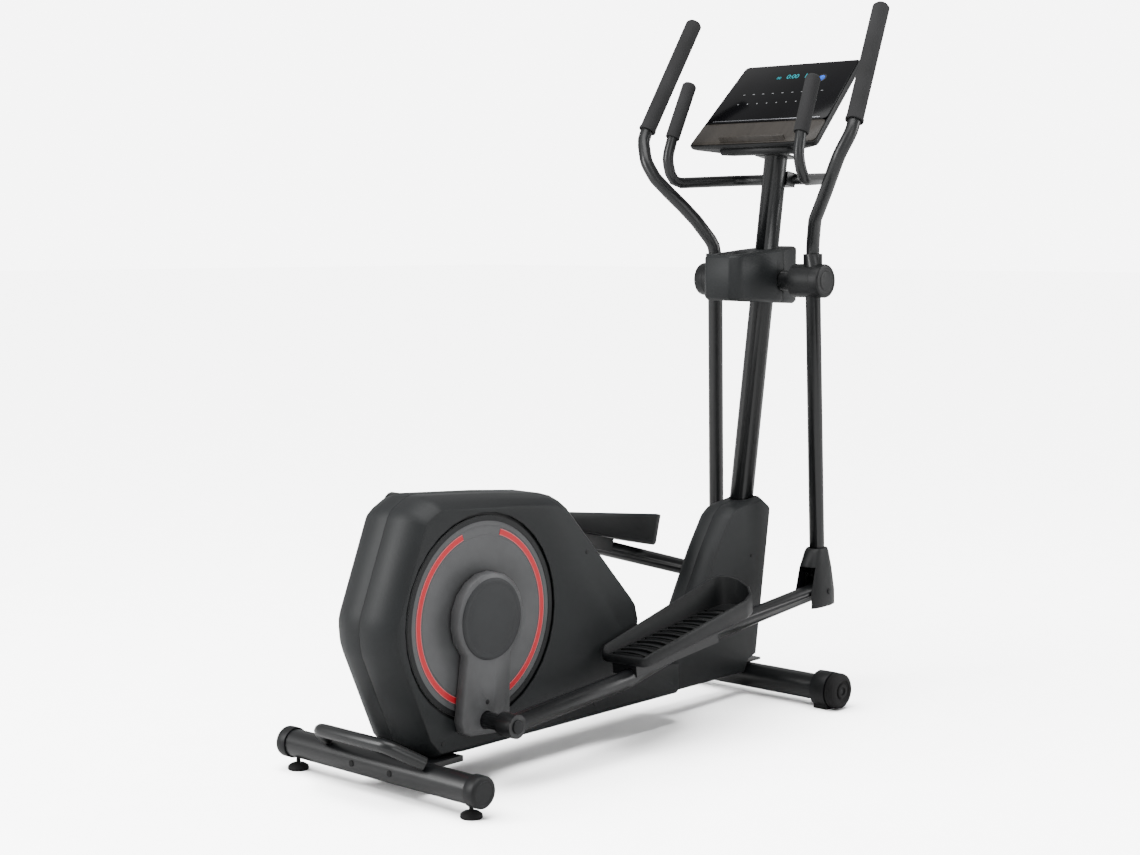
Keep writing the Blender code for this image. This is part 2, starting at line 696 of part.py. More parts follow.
def crank_cover(name, side, pin, away, plastic, spin):
    """A tongue-shaped shell, open at the back, over the crank arm."""
    steps = [(-0.001, DISC_Y + 0.0040), (0.0, COVER_Y - 0.003), (0.003, COVER_Y)]
    corners, radii = cover_corners(pin, away)
    shell = shell_half("crank_cover_" + name, corners, radii, steps, 0.0026, plastic, side, spin)
    spot = (pin.x, side * 0.12, pin.y)
    boolean(shell, cylinder("boss_hole", 0.0190, 0.2, plastic, spot, holder=spin, sides=20))


# ---- Brake and wiring ----------------------------------------------------------------
def brake(steel, plastic, zinc, wire_sleeve):
    """Magnet shoe around the flywheel's front edge, the motor that pulls it, and the wiring."""
    hub = Vector((FLY_X, FLY_Z))
    inner = FLY_R + 0.0040
    outer = inner + 0.0140
    sweep = [math.radians(-38 + 10 * k) for k in range(7)]
    arc_out = [hub + Vector((math.cos(a), math.sin(a))) * outer for a in sweep]
    arc_in = [hub + Vector((math.cos(a), math.sin(a))) * inner for a in reversed(sweep)]
    holder = joints["brake"]
    shoe = slab("magnet_brake", arc_out + arc_in, -0.0150, 0.0150, zinc, holder)
    arc_low = hub + Vector((math.cos(math.radians(-27)), math.sin(math.radians(-27)))) * (inner + outer) / 2
    pivot = (BRAKE_X, 0, BRAKE_Z)
    strut = bar_outline(Vector((BRAKE_X, BRAKE_Z)), arc_low, 0.0085, 0.0060, 4)
    boolean(shoe, slab("brake_post", strut, -0.006, 0.006, zinc, holder), "UNION")
    boolean(shoe, cylinder("brake_eye", 0.0100, 0.0240, zinc, pivot, holder=holder), "UNION")
    boolean(shoe, cylinder("brake_bore", 0.0044, 0.1, zinc, pivot, holder=holder, sides=12))
    pin = turned("brake_pivot", disc_profile(0.0040, -0.0200, 0.0200), steel, pivot, steps=12)
    for y in (-0.0175, 0.0175):
        ear = box("brake_ear", (0.018, 0.005, 0.0346), steel, (BRAKE_X, y, BEAM_HIGH + GAP + 0.0173))
        boolean(pin, ear, "UNION")
    motor = box("resistance_motor", (0.060, 0.044, 0.050), plastic, (0.570, 0, BEAM_HIGH + 0.0274))
    tube("wire_harness", [mast_at(0.150), mast_at(0.5), mast_at(0.95)], 0.0050, wire_sleeve, sides=8)
    inlet = box("power_inlet", (0.004, 0.026, 0.020), plastic, (INLET_X, 0, INLET_Z))
    barrel = cylinder("inlet_barrel", 0.0065, 0.018, plastic, (INLET_X - 0.010, 0, INLET_Z), "X", sides=10)
    boolean(inlet, barrel, "UNION")
    bore = cylinder("inlet_bore", 0.0040, 0.020, plastic, (INLET_X - 0.002, 0, INLET_Z), "X", sides=10)
    boolean(inlet, bore)


# ---- Covers --------------------------------------------------------------------------
def drive_shrouds(plastic):
    for name, side in SIDES:
        shell = shell_half("drive_shroud_" + name, SHROUD_CORNERS, SHROUD_RADII, SHROUD_LEVELS, SHROUD_WALL,
                           plastic, side)
        crank_side = (CRANK_X, side * SHROUD_FACE_Y, CRANK_Z)
        for cut in (
            cylinder("disc_opening", OPENING_R, 0.04, plastic, crank_side, sides=32),
            box("beam_slot", (0.120, 2 * BEAM_HALF + 0.002, 0.075), plastic, (0.890, 0, 0.0890)),
            box("saddle_slot", (0.160, 0.202, 0.018), plastic, (0.090, 0, BEAM_LOW + 0.0015)),
            cylinder("rear_tube_slot", REAR_TUBE_R + 0.002, 0.9, plastic, (0, 0, REAR_Z)),
        ):
            boolean(shell, cut)


def mast_covers(plastic):
    lean = (MAST_HEAD - MAST_FOOT).normalized()
    for name, side in SIDES:
        shell = shell_half("mast_cover_" + name, MAST_COVER_CORNERS, MAST_COVER_RADII, MAST_COVER_LEVELS,
                           SHROUD_WALL, plastic, side)
        through = [mast_at(0.40), mast_at(0.40) + lean * 0.25]
        hole = tube("mast_hole", through, MAST_R + 0.0010, plastic, sides=16)
        beam = box("beam_hole", (0.120, 2 * BEAM_HALF + 0.002, 0.075), plastic, (0.885, 0, 0.0890))
        nose = box("nose_hole", (0.130, 0.0630, 0.075), plastic, (1.215, 0, 0.0500))
        inlet = cylinder("inlet_hole", 0.0080, 0.060, plastic, (INLET_X, 0, INLET_Z), "X", sides=10)
        for cut in (hole, beam, nose, inlet):
            boolean(shell, cut)


def mid_covers(plastic):
    """Two shells that meet at the cross tube. The rear one holds the bottle pocket."""
    def level(grow, height, slope):
        flat = smaller(MID_CORNERS, MID_RADII, grow)
        return [(p.x, p.y, height + slope * (p.x - 1.118)) for p in flat]

    def body(name):
        rings = [level(0.008, 0.9900, -0.05), level(0.0, 0.9980, -0.05), level(0.0, 1.0920, 0.085),
                 level(0.006, 1.0985, 0.085)]
        return loft(name, rings, plastic)

    def cavity():
        rings = [level(0.012, 0.9960, -0.05), level(0.0035, 1.0010, -0.05), level(0.0035, 1.0900, 0.085),
                 level(0.010, 1.0945, 0.085)]
        return loft("cover_inside", rings, plastic)

    lean = (MAST_HEAD - MAST_FOOT).normalized()
    middle = mast_at(PIVOT_Z)
    pocket_radii = [0.030] * 4
    for name, sign in (("rear", -1), ("front", 1)):
        shell = body("mid_cover_" + name)
        keep = box("keep", (0.4, 0.3, 0.3), plastic, (MID_SPLIT_X + sign * (0.2 + GAP), 0, 1.04))
        boolean(shell, keep, "INTERSECT")
        inside = cavity()
        pocket_outside = smaller(POCKET_CORNERS, pocket_radii, 0.0)
        boolean(inside, slab("pocket_wall", pocket_outside, 1.020, 1.120, plastic, plan=True))
        boolean(shell, inside)
        pocket_inside = smaller(POCKET_CORNERS, pocket_radii, 0.003)
        boolean(shell, slab("pocket", pocket_inside, 1.023, 1.200, plastic, plan=True))
        gap = tube("mast_gap", [middle - lean * 0.2, middle + lean * 0.2], MAST_R + 0.001, plastic, sides=16)
        boolean(shell, gap)
        boolean(shell, cylinder("cross_gap", 0.0260, 0.3, plastic, (PIVOT_X, 0, PIVOT_Z)))


# ---- Swing arms ----------------------------------------------------------------------
def swing_arms(steel, plastic, alloy):
    turned("pivot_axle", disc_profile(AXLE_R, -0.1820, 0.1820, 0.0015), alloy, (PIVOT_X, 0, PIVOT_Z))
    for name, side in SIDES:
        holder = joints["swing_" + name]
        foot = lower_pivot(side)
        down = (foot - Vector((PIVOT_X, PIVOT_Z))).normalized()
        hub = Vector((PIVOT_X, side * SWING_Y, PIVOT_Z))
        along = Vector((down.x, 0, down.y))
        fork_top = hub + along * (SWING_LENGTH - 0.042)
        fork_top.y = side * (SWING_Y + 0.93 * (LOWER_PIVOT_Y - SWING_Y))
        arm = turned("swing_arm_" + name, ring_profile(HUB_TUBE_R, AXLE_R + GAP, 0.1060, 0.1800), steel,
                     (PIVOT_X, 0, PIVOT_Z), side=side, holder=holder)
        lower = tube("lower_tube", [hub + along * 0.012, fork_top], 0.0190, steel, holder, 12)
        boolean(arm, lower, "UNION")
        sock = hub - along * 0.066
        boolean(arm, tube("upper_socket", [hub - along * 0.012, sock], 0.0235, steel, holder, 12), "UNION")
        fork(arm, side, foot, down, steel, holder)
        inside = [hub - along * 0.036, sock - along * 0.02]
        boolean(arm, tube("socket_bore", inside, SOCKET_R, steel, holder, 10))
        spot = (PIVOT_X, side * 0.15, PIVOT_Z)
        boolean(arm, cylinder("pivot_bore", AXLE_R + GAP, 0.3, steel, spot, holder=holder))
        hub_cover(name, side, down, plastic, holder)
        boot(name, side, foot, down, fork_top, plastic, holder)
        handlebar(name, side, sock, down, steel, holder)


def fork(arm, side, foot, down, steel, holder):
    """Two cheeks that carry the lower pivot's pin."""
    lean = math.atan2(down.x, -down.y)
    for y in (LOWER_PIVOT_Y - FORK_HALF - 0.003, LOWER_PIVOT_Y + FORK_HALF + 0.003):
        cheek = box("cheek", (0.034, 0.0052, 0.060), steel,
                    (foot.x - down.x * 0.014, side * y, foot.y - down.y * 0.014), (0, -lean, 0), holder)
        boolean(arm, cheek, "UNION")
    top = (foot.x - down.x * 0.0395, side * LOWER_PIVOT_Y, foot.y - down.y * 0.0395)
    bridge = box("bridge", (0.029, 2 * FORK_HALF + 0.0100, 0.010), steel, top, (0, -lean, 0), holder)
    boolean(arm, bridge, "UNION")
    pin = cylinder("pin", 0.0060, 2 * FORK_HALF + 0.0108, steel, (foot.x, side * LOWER_PIVOT_Y, foot.y),
                   holder=holder, sides=16)
    boolean(arm, pin, "UNION")


def hub_cover(name, side, down, plastic, holder):
    cover = turned("hub_cover_" + name, [
        (0, HUB_OUT), (HUB_COVER_R - 0.008, HUB_OUT), (HUB_COVER_R - 0.002, HUB_OUT - 0.003),
        (HUB_COVER_R, HUB_OUT - 0.008), (HUB_COVER_R, HUB_IN), (HUB_COVER_R - 0.003, HUB_IN),
        (HUB_COVER_R - 0.003, HUB_OUT - 0.009), (0, HUB_OUT - 0.009)], plastic,
        (PIVOT_X, 0, PIVOT_Z), side=side, holder=holder)
    hub = Vector((PIVOT_X, side * SWING_Y, PIVOT_Z))
    along = Vector((down.x, 0, down.y))
    boolean(cover, tube("arm_hole", [hub, hub + along * 0.09], 0.0204, plastic, holder, 12))
    boolean(cover, tube("socket_hole", [hub, hub - along * 0.09], 0.0250, plastic, holder, 12))


def boot(name, side, foot, down, fork_top, plastic, holder):
    """Tapered cover over the fork, open behind and below for the pedal arm."""
    lean = math.atan2(down.x, -down.y)

    def ring(height, half_x, half_y, shift):
        points = []
        for k in range(14):
            a = 2 * math.pi * k / 14
            c = math.cos(a)
            s = math.sin(a)
            x = math.copysign(abs(c) ** 0.75, c) * half_x + shift
            y = math.copysign(abs(s) ** 0.75, s) * half_y
            spot = Vector((x, y, height))
            spot.rotate(Matrix.Rotation(-lean, 3, "Y"))
            points.append(Vector((foot.x, side * LOWER_PIVOT_Y, foot.y)) + spot)
        return points

    rings = [ring(-0.036, 0.0600, 0.0360, -0.012), ring(0.000, 0.0600, 0.0360, -0.012),
             ring(0.060, 0.0470, 0.0310, -0.009), ring(0.100, 0.0310, 0.0255, -0.004),
             ring(0.108, 0.0260, 0.0230, -0.002)]
    shell = loft("arm_boot_" + name, rings, plastic, holder)
    hollow = [ring(-0.060, 0.0575, 0.0335, -0.012), ring(0.000, 0.0575, 0.0335, -0.012),
              ring(0.060, 0.0445, 0.0285, -0.009), ring(0.104, 0.0265, 0.0220, -0.003)]
    boolean(shell, loft("boot_inside", hollow, plastic, holder))
    behind = (foot.x - 0.057, side * LOWER_PIVOT_Y, foot.y - 0.001)
    boolean(shell, box("boot_gap", (0.100, 0.0480, 0.130), plastic, behind, holder=holder))
    rise = Vector((-down.x, 0, -down.y))
    hole = tube("boot_hole", [fork_top + rise * 0.038, fork_top + rise * 0.088], 0.0206, plastic, holder, 12)
    boolean(shell, hole)


def handlebar(name, side, sock, down, steel, holder):
    """Bent tube from the socket, out and back, then up to the grip. The foam grip fits over it."""
    up = Vector((-down.x, 0, -down.y))
    foot = sock - up * 0.028
    path = [foot, sock + up * 0.020]
    path += [on_side(point, side) for point in (*HANDLE_BENDS, GRIP_LOW, GRIP_TOP)]
    radii = [0, 0.06] + [0.06] * len(HANDLE_BENDS) + [0.06, 0]
    tube("handlebar_" + name, rounded(path, radii, 2), HANDLE_R, steel, holder, 10)
    grip(name, side, holder)


def grip(name, side, holder):
    """Foam sleeve with a closed top and a collar at its lower end."""
    low = on_side(GRIP_LOW, side)
    high = on_side(GRIP_TOP, side)
    axis = (high - low).normalized()
    start = low + axis * 0.027
    length = (high - start).length
    profile = [(0, length + 0.008), (GRIP_R - 0.006, length + 0.007), (GRIP_R, length), (GRIP_R, 0.008),
               (GRIP_R + 0.0015, 0.007), (GRIP_R + 0.0015, 0), (SOCKET_R, 0), (SOCKET_R, length + GAP),
               (0, length + GAP)]
    obj = turned("handlebar_grip_" + name, profile, foam, start, "Z", holder=holder, steps=14)
    obj.rotation_mode = "QUATERNION"
    obj.rotation_quaternion = axis.to_track_quat("Z", "Y")


# ---- Pedal arms and pedals -------------------------------------------------------------
def pedal_arms(steel, plastic):
    for name, side in SIDES:
        holder = joints["pedal_arm_" + name]
        pin = crank_pin(side)
        foot = lower_pivot(side)
        line = (foot - pin).normalized()
        rise = Vector((-line.y, line.x))

        def spot(along, up, y):
            """A point by its distance from the crank pin along the arm, above it, and outwards."""
            p = pin + line * along + rise * up
            return Vector((p.x, side * y, p.y))

        path = [spot(0.0, 0.0, ARM_REAR_Y), spot(0.370, -0.0085, ARM_REAR_Y),
                spot(0.640, 0.0050, LOWER_PIVOT_Y), spot(PEDAL_ARM_LENGTH, 0.0, LOWER_PIVOT_Y)]
        arm = tube("pedal_arm_" + name, rounded(path, [0, 0.25, 0.25, 0], 2), 0.0203, steel, holder, 10)
        for along, y, radius, half in ((0.0, ARM_REAR_Y, 0.0256, 0.0212),
                                       (PEDAL_ARM_LENGTH, LOWER_PIVOT_Y, 0.0215, FORK_HALF + 0.0020)):
            centre = spot(along, 0.0, y)
            hub = cylinder("arm_hub", radius, 2 * half, steel, centre, holder=holder)
            boolean(arm, hub, "UNION")
        trim = spot(PEDAL_ARM_LENGTH, 0.0, LOWER_PIVOT_Y)
        for offset in (-1, 1):
            cheek = box("hub_trim", (0.110, 0.030, 0.110), steel,
                        trim + Vector((0, offset * (FORK_HALF - 0.0005 + 0.015), 0)), holder=holder)
            boolean(arm, cheek)
        boolean(arm, cylinder("pivot_hole", 0.0066, 0.2, steel, trim, holder=holder, sides=16))
        ends = []
        for place, top in ((0.385, 0.0215), (0.680, 0.0300)):
            section = ((-0.004, 0.135), (-0.004, 0.205), (top, 0.205), (top, 0.135))
            ends.append([spot(place, up, y) for up, y in section])
        bracket = loft("pedal_bracket", ends, steel, holder)
        boolean(arm, bracket, "UNION")
        pedal(name, side, spot, plastic, holder)


def pedal(name, side, spot, plastic, holder):
    """Foot tray: tread floor with ribs, low outer rim, high inner wall and round front."""
    def rise(along):
        return 0.0222 + PEDAL_TILT * (along - PEDAL_START)

    # Plan outline from the rear inner corner round to the front and back, as (along, across).
    end = PEDAL_START + PEDAL_LENGTH
    plan = rounded([Vector((PEDAL_START, PEDAL_IN, 0)), Vector((PEDAL_START + 0.006, PEDAL_OUT, 0)),
                    Vector((end, PEDAL_OUT - 0.012, 0)), Vector((end, PEDAL_IN, 0))],
                   [0.020, 0.020, 0.074, 0.042], 3, closed=True)
    plan = [Vector((p.x, p.y)) for p in plan]
    inner = inset(plan, 0.0060)

    def wall_top(p):
        """Rim height over the tread, by place: the inner wall rises forward, the rear is low."""
        share = (p.x - PEDAL_START) / PEDAL_LENGTH
        inward = max(0.0, min(1.0, (PEDAL_OUT - p.y) / (PEDAL_OUT - PEDAL_IN)))
        rear = max(0.0, min(1.0, share / 0.10))
        outer_rim = 0.034
        inner_wall = 0.046 + 0.034 * max(share, 0.0) ** 0.75
        return 0.016 * (1 - rear) + rear * (outer_rim + (inner_wall - outer_rim) * inward**0.6)

    def point(p, up):
        return spot(p.x, rise(p.x) + up, p.y)

    bottom = [point(p, 0.0) for p in inset(plan, 0.004)]
    low_side = [point(p, 0.006) for p in plan]
    rim_out = [point(p, wall_top(p) - 0.002) for p in plan]
    rim_top = [point(p, wall_top(p)) for p in inset(plan, 0.002)]
    rim_in = [point(p, wall_top(p) - 0.001) for p in inner]
    floor_edge = [point(p, 0.0070) for p in inset(plan, 0.0080)]
    tray = loft("pedal_" + name, [bottom, low_side, rim_out, rim_top, rim_in, floor_edge], plastic, holder)
    for k in range(PEDAL_RIBS):
        along = PEDAL_START + 0.045 + k * (PEDAL_LENGTH - 0.125) / (PEDAL_RIBS - 1)
        ends = [spot(along + shift, rise(along + shift) + up, y) for shift, up, y in (
            (-0.004, 0.0105, PEDAL_IN + 0.016), (0.006, 0.0105, PEDAL_OUT - 0.024))]
        groove = rib_bar(ends, plastic, holder)
        boolean(tray, groove, "UNION")


def rib_bar(ends, plastic, holder):
    """A low bar across the tread."""
    forward = Vector((0.0045, 0, 0))
    drop = Vector((0, 0, -0.0060))
    rings = []
    for centre in ends:
        rings.append([centre - forward + drop, centre - forward * 0.5,
                      centre + forward * 0.5, centre + forward + drop])
    return loft("rib", rings, plastic, holder)


# ---- Console and fixed handlebar ---------------------------------------------------------
def fixed_handlebar(steel, rubber):
    """Bar clamped to the front of the mast, swept back on both sides and turned up into pulse grips."""
    left = rounded(BAR_PATH, BAR_BENDS, 2)
    right = [Vector((p.x, -p.y, p.z)) for p in left]
    bar = tube("fixed_handlebar", right[:0:-1] + left, BAR_R, steel, sides=8)
    lean = (MAST_HEAD - MAST_FOOT).normalized()
    at_bar = mast_at(BAR_Z)
    clamp = box("bar_clamp", (0.036, 0.064, 0.036), steel, (at_bar.x + 0.030, 0, BAR_Z),
                (0, math.atan2(lean.x, lean.z), 0))
    boolean(bar, clamp, "UNION")
    beside = [at_bar - lean * 0.1, at_bar + lean * 0.1]
    boolean(bar, tube("mast_saddle", beside, MAST_R + 0.0010, steel, sides=16))
    for name, side in SIDES:
        low = on_side(PULSE_LOW, side)
        high = on_side(PULSE_TOP, side)
        axis = (high - low).normalized()
        length = (high - low).length
        profile = [(0, length + 0.007), (FIXED_GRIP_R - 0.005, length + 0.006), (FIXED_GRIP_R, length),
                   (FIXED_GRIP_R, 0), (0.0151, 0), (0.0151, length + GAP), (0, length + GAP)]
        obj = turned("pulse_grip_" + name, profile, rubber, low, "Z", steps=12)
        obj.rotation_mode = "QUATERNION"
        obj.rotation_quaternion = axis.to_track_quat("Z", "Y")


def console_point(along, across, depth):
    """A point on the console by its share up the face, its share out to the edge, and its depth."""
    face = (FACE_HIGH - FACE_LOW).normalized()
    out = Vector((-face.z, 0, face.x))
    half = FACE_HALF_LOW + (FACE_HALF_HIGH - FACE_HALF_LOW) * along
    spot = FACE_LOW.lerp(FACE_HIGH, along) - out * depth
    return Vector((spot.x, across * half, spot.z))


def console(shell_plastic, gloss, tray_plastic):
    """Deep back shell, the gloss display panel and the tablet tray below it."""
    def ring(low, high, side, depth):
        """A rounded rectangle between two shares up the face, a share in from its side edges."""
        corners = [(low, -1 + side), (low, 1 - side), (high, 1 - side), (high, -1 + side)]
        flat = [Vector((u * FACE_LENGTH, v * FACE_GRID, 0)) for u, v in corners]
        flat = rounded(flat, 0.010, 2, closed=True)
        return [console_point(p.x / FACE_LENGTH, p.y / FACE_GRID, depth) for p in flat]

    rings = [ring(0.0, 1.0, 0.0, 0.0030), ring(0.0, 1.0, 0.0, 0.0130), ring(0.02, 0.97, 0.03, 0.0220),
             ring(0.04, 0.55, 0.42, 0.0420), ring(0.09, 0.38, 0.60, 0.0560)]
    body = loft("console_housing", rings, shell_plastic)
    lip = box("console_lip", (0.060, 0.2150, 0.020), shell_plastic, (1.2880, 0, 1.3580))
    boolean(body, bevel(lip, 0.006), "UNION")
    recess = [ring(0.012, 0.988, 0.016, depth) for depth in (-0.02, 0.0060)]
    boolean(body, loft("panel_recess", recess, shell_plastic))
    lean = (MAST_HEAD - MAST_FOOT).normalized()
    socket = [mast_at(1.20), MAST_HEAD + lean * 0.0005]
    boolean(body, tube("mast_top_clearance", socket, MAST_R + 0.001, shell_plastic, sides=16))
    plate_gap = box("plate_gap", (0.062, 0.092, 0.0075), shell_plastic, MAST_HEAD + lean * 0.001,
                    (0, math.atan2(lean.x, lean.z), 0))
    boolean(body, plate_gap)

    back = 0.0060 - GAP
    loft("console_fascia", [ring(0.272, 0.985, 0.020, depth) for depth in (0.0, back)], gloss)
    tray = loft("console_tray", [ring(0.016, 0.268, 0.020, depth) for depth in (0.0012, back)], tray_plastic)
    ledge = box("tray_ledge", (0.004, 0.200, 0.016), tray_plastic, console_point(0.045, 0, -0.005),
                (0, -math.radians(44), 0))
    boolean(tray, ledge, "UNION")


# ---- Assembly --------------------------------------------------------------------------
clear_scene()
TRAINER = new_collection("elliptical_trainer")
TOOLS = new_collection("cutters")
ROOT = None
ROOT = empty("trainer_origin", (ORIGIN_SHIFT, 0, 0))

joints = {
    "crank": empty("crank_joint", (CRANK_X, 0, CRANK_Z), ROOT),
    "flywheel": empty("flywheel_joint", (FLY_X, 0, FLY_Z), ROOT),
    "brake": empty("brake_joint", (BRAKE_X, 0, BRAKE_Z), ROOT),
}
for side_name, side_sign in SIDES:
    swing = empty("swing_joint_" + side_name, (PIVOT_X, side_sign * SWING_Y, PIVOT_Z), ROOT)
    low_end = lower_pivot(side_sign)
    joints["swing_" + side_name] = swing
    joints["pedal_arm_" + side_name] = empty(
        "pedal_arm_joint_" + side_name, (low_end.x, side_sign * LOWER_PIVOT_Y, low_end.y), swing)
    joints["transport_wheel_" + side_name] = empty(
        "wheel_joint_" + side_name, (FRONT_X, side_sign * (FRONT_HALF - 0.0145), FRONT_Z), ROOT)
    joints["levelling_foot_" + side_name] = empty(
        "foot_joint_" + side_name, (0, side_sign * FOOT_Y, 0), ROOT)

powder = material("black_powder_coat", (0.018, 0.019, 0.020), 0.38, 0.10)
charcoal = material("charcoal_plastic", (0.030, 0.033, 0.035), 0.55)
deep_black = material("satin_black_plastic", (0.012, 0.013, 0.014), 0.42)
disc_grey = material("grey_disc_plastic", (0.105, 0.105, 0.112), 0.45)
cap_grey = material("dark_grey_cap", (0.040, 0.042, 0.044), 0.50)
foam = material("grip_foam", (0.022, 0.022, 0.024), 0.85)
tyre = material("black_rubber", (0.010, 0.010, 0.010), 0.75)
bright = material("bright_steel", (0.55, 0.55, 0.56), 0.30, 1.0)
zinc_plate = material("zinc_plate", (0.50, 0.51, 0.53), 0.40, 1.0)
screen = material("console_gloss", (0.006, 0.006, 0.008), 0.08)
tray_brown = material("tray_bronze", (0.070, 0.063, 0.056), 0.40)
wire = material("wire_sleeve", (0.015, 0.015, 0.016), 0.60)

main_frame(powder)
mast(powder)
stabilizers(powder, deep_black)
levelling_feet(tyre)
transport_wheels(tyre)
drive(bright, zinc_plate, deep_black, tyre)
cranks(powder, disc_grey, disc_grey, cap_grey)
brake(powder, deep_black, zinc_plate, wire)
drive_shrouds(charcoal)
mast_covers(charcoal)
mid_covers(charcoal)
swing_arms(powder, deep_black, bright)
pedal_arms(powder, deep_black)
fixed_handlebar(powder, foam)
console(deep_black, screen, tray_brown)
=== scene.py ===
# %% [markdown]
# # A rear-drive elliptical trainer
# The machine is a heavy housing with a crank on each side, two rolling pedal arms, two swinging
# handlebars, a leaning mast and a console. Its solids come ready made, in metres, so this lesson
# is about finishes, soft edges and the small parts that make moulded and painted pieces look real.

# %% Load the machine
import json
import math

import bpy
from mathutils import Matrix, Vector


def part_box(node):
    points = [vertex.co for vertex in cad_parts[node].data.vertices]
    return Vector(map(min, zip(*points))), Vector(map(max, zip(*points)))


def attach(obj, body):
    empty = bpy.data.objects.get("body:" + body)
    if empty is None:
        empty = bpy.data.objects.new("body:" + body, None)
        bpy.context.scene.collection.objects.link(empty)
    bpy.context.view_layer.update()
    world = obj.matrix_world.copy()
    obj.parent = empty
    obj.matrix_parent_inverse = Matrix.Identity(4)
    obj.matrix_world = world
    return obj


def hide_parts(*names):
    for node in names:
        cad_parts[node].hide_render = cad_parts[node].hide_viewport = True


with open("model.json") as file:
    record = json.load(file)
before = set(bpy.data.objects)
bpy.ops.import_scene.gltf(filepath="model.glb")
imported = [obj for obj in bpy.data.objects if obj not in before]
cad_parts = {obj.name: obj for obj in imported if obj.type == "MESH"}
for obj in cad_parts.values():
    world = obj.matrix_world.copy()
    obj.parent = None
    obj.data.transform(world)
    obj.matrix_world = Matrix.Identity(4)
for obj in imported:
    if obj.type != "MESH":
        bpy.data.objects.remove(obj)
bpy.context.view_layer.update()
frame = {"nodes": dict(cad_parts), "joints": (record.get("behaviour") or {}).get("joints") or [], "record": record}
SHIFT = -0.69099  # the machine's drawings start at the rear stabilizer, this far behind the origin
SIDES = (("right", -1), ("left", 1))
BODY_OF = {node: body for body, nodes in frame["record"]["behaviour"]["bodies"].items() for node in nodes}
SLOT_OF = {part["node"]: part["material_slot"] for part in frame["record"]["subparts"]}


# %% [markdown]
# ## Materials
# Moulded plastic is never one flat colour. Its mould is etched, so it has a fine grain that breaks
# up the highlight, and its gloss wanders a little from place to place. One builder makes them all:
# a slow noise moves the colour and the roughness, and a fine one is the grain, through a bump.
# Patterns read Object coordinates, because every piece sits at the origin and nothing slides.

# %% One builder for every finish
PATCH_SCALE = 9.0  # of the slow noise that moves the colour and the gloss
GRAIN_HEIGHT = 0.0006
GLOSS_SWING = 0.07


def finish(name, colour, rough, metal=0.0, grain=900.0, depth=0.10, drift=0.18, stretch=(1, 1, 1),
           shine=0.30):
    """grain is the fine pattern's scale, depth its strength, and drift how far the colour wanders."""
    made = bpy.data.materials.new(name)
    made.use_nodes = True
    nodes, links = made.node_tree.nodes, made.node_tree.links
    shader = nodes["Principled BSDF"]
    shader.inputs["Metallic"].default_value = metal
    shader.inputs["Specular IOR Level"].default_value = shine
    place = nodes.new("ShaderNodeTexCoord")
    scaled = nodes.new("ShaderNodeMapping")
    scaled.inputs["Scale"].default_value = stretch
    links.new(place.outputs["Object"], scaled.inputs["Vector"])
    slow = nodes.new("ShaderNodeTexNoise")
    slow.inputs["Scale"].default_value = PATCH_SCALE
    slow.inputs["Detail"].default_value = 5.0
    fine = nodes.new("ShaderNodeTexNoise")
    fine.inputs["Scale"].default_value = grain
    fine.inputs["Detail"].default_value = 2.0
    links.new(scaled.outputs["Vector"], slow.inputs["Vector"])
    links.new(scaled.outputs["Vector"], fine.inputs["Vector"])
    tint = nodes.new("ShaderNodeValToRGB")
    tint.color_ramp.elements[0].position = 0.30
    tint.color_ramp.elements[1].position = 0.72
    tint.color_ramp.elements[0].color = (*[c * (1 - drift) for c in colour], 1)
    tint.color_ramp.elements[1].color = (*[min(1.0, c * (1 + drift)) for c in colour], 1)
    links.new(slow.outputs["Fac"], tint.inputs["Fac"])
    links.new(tint.outputs["Color"], shader.inputs["Base Color"])
    gloss = nodes.new("ShaderNodeMapRange")
    gloss.inputs["To Min"].default_value = max(0.02, rough - GLOSS_SWING)
    gloss.inputs["To Max"].default_value = min(1.0, rough + GLOSS_SWING)
    links.new(slow.outputs["Fac"], gloss.inputs["Value"])
    links.new(gloss.outputs["Result"], shader.inputs["Roughness"])
    bump = nodes.new("ShaderNodeBump")
    bump.inputs["Strength"].default_value = depth
    bump.inputs["Distance"].default_value = GRAIN_HEIGHT
    links.new(fine.outputs["Fac"], bump.inputs["Height"])
    links.new(bump.outputs["Normal"], shader.inputs["Normal"])
    return made


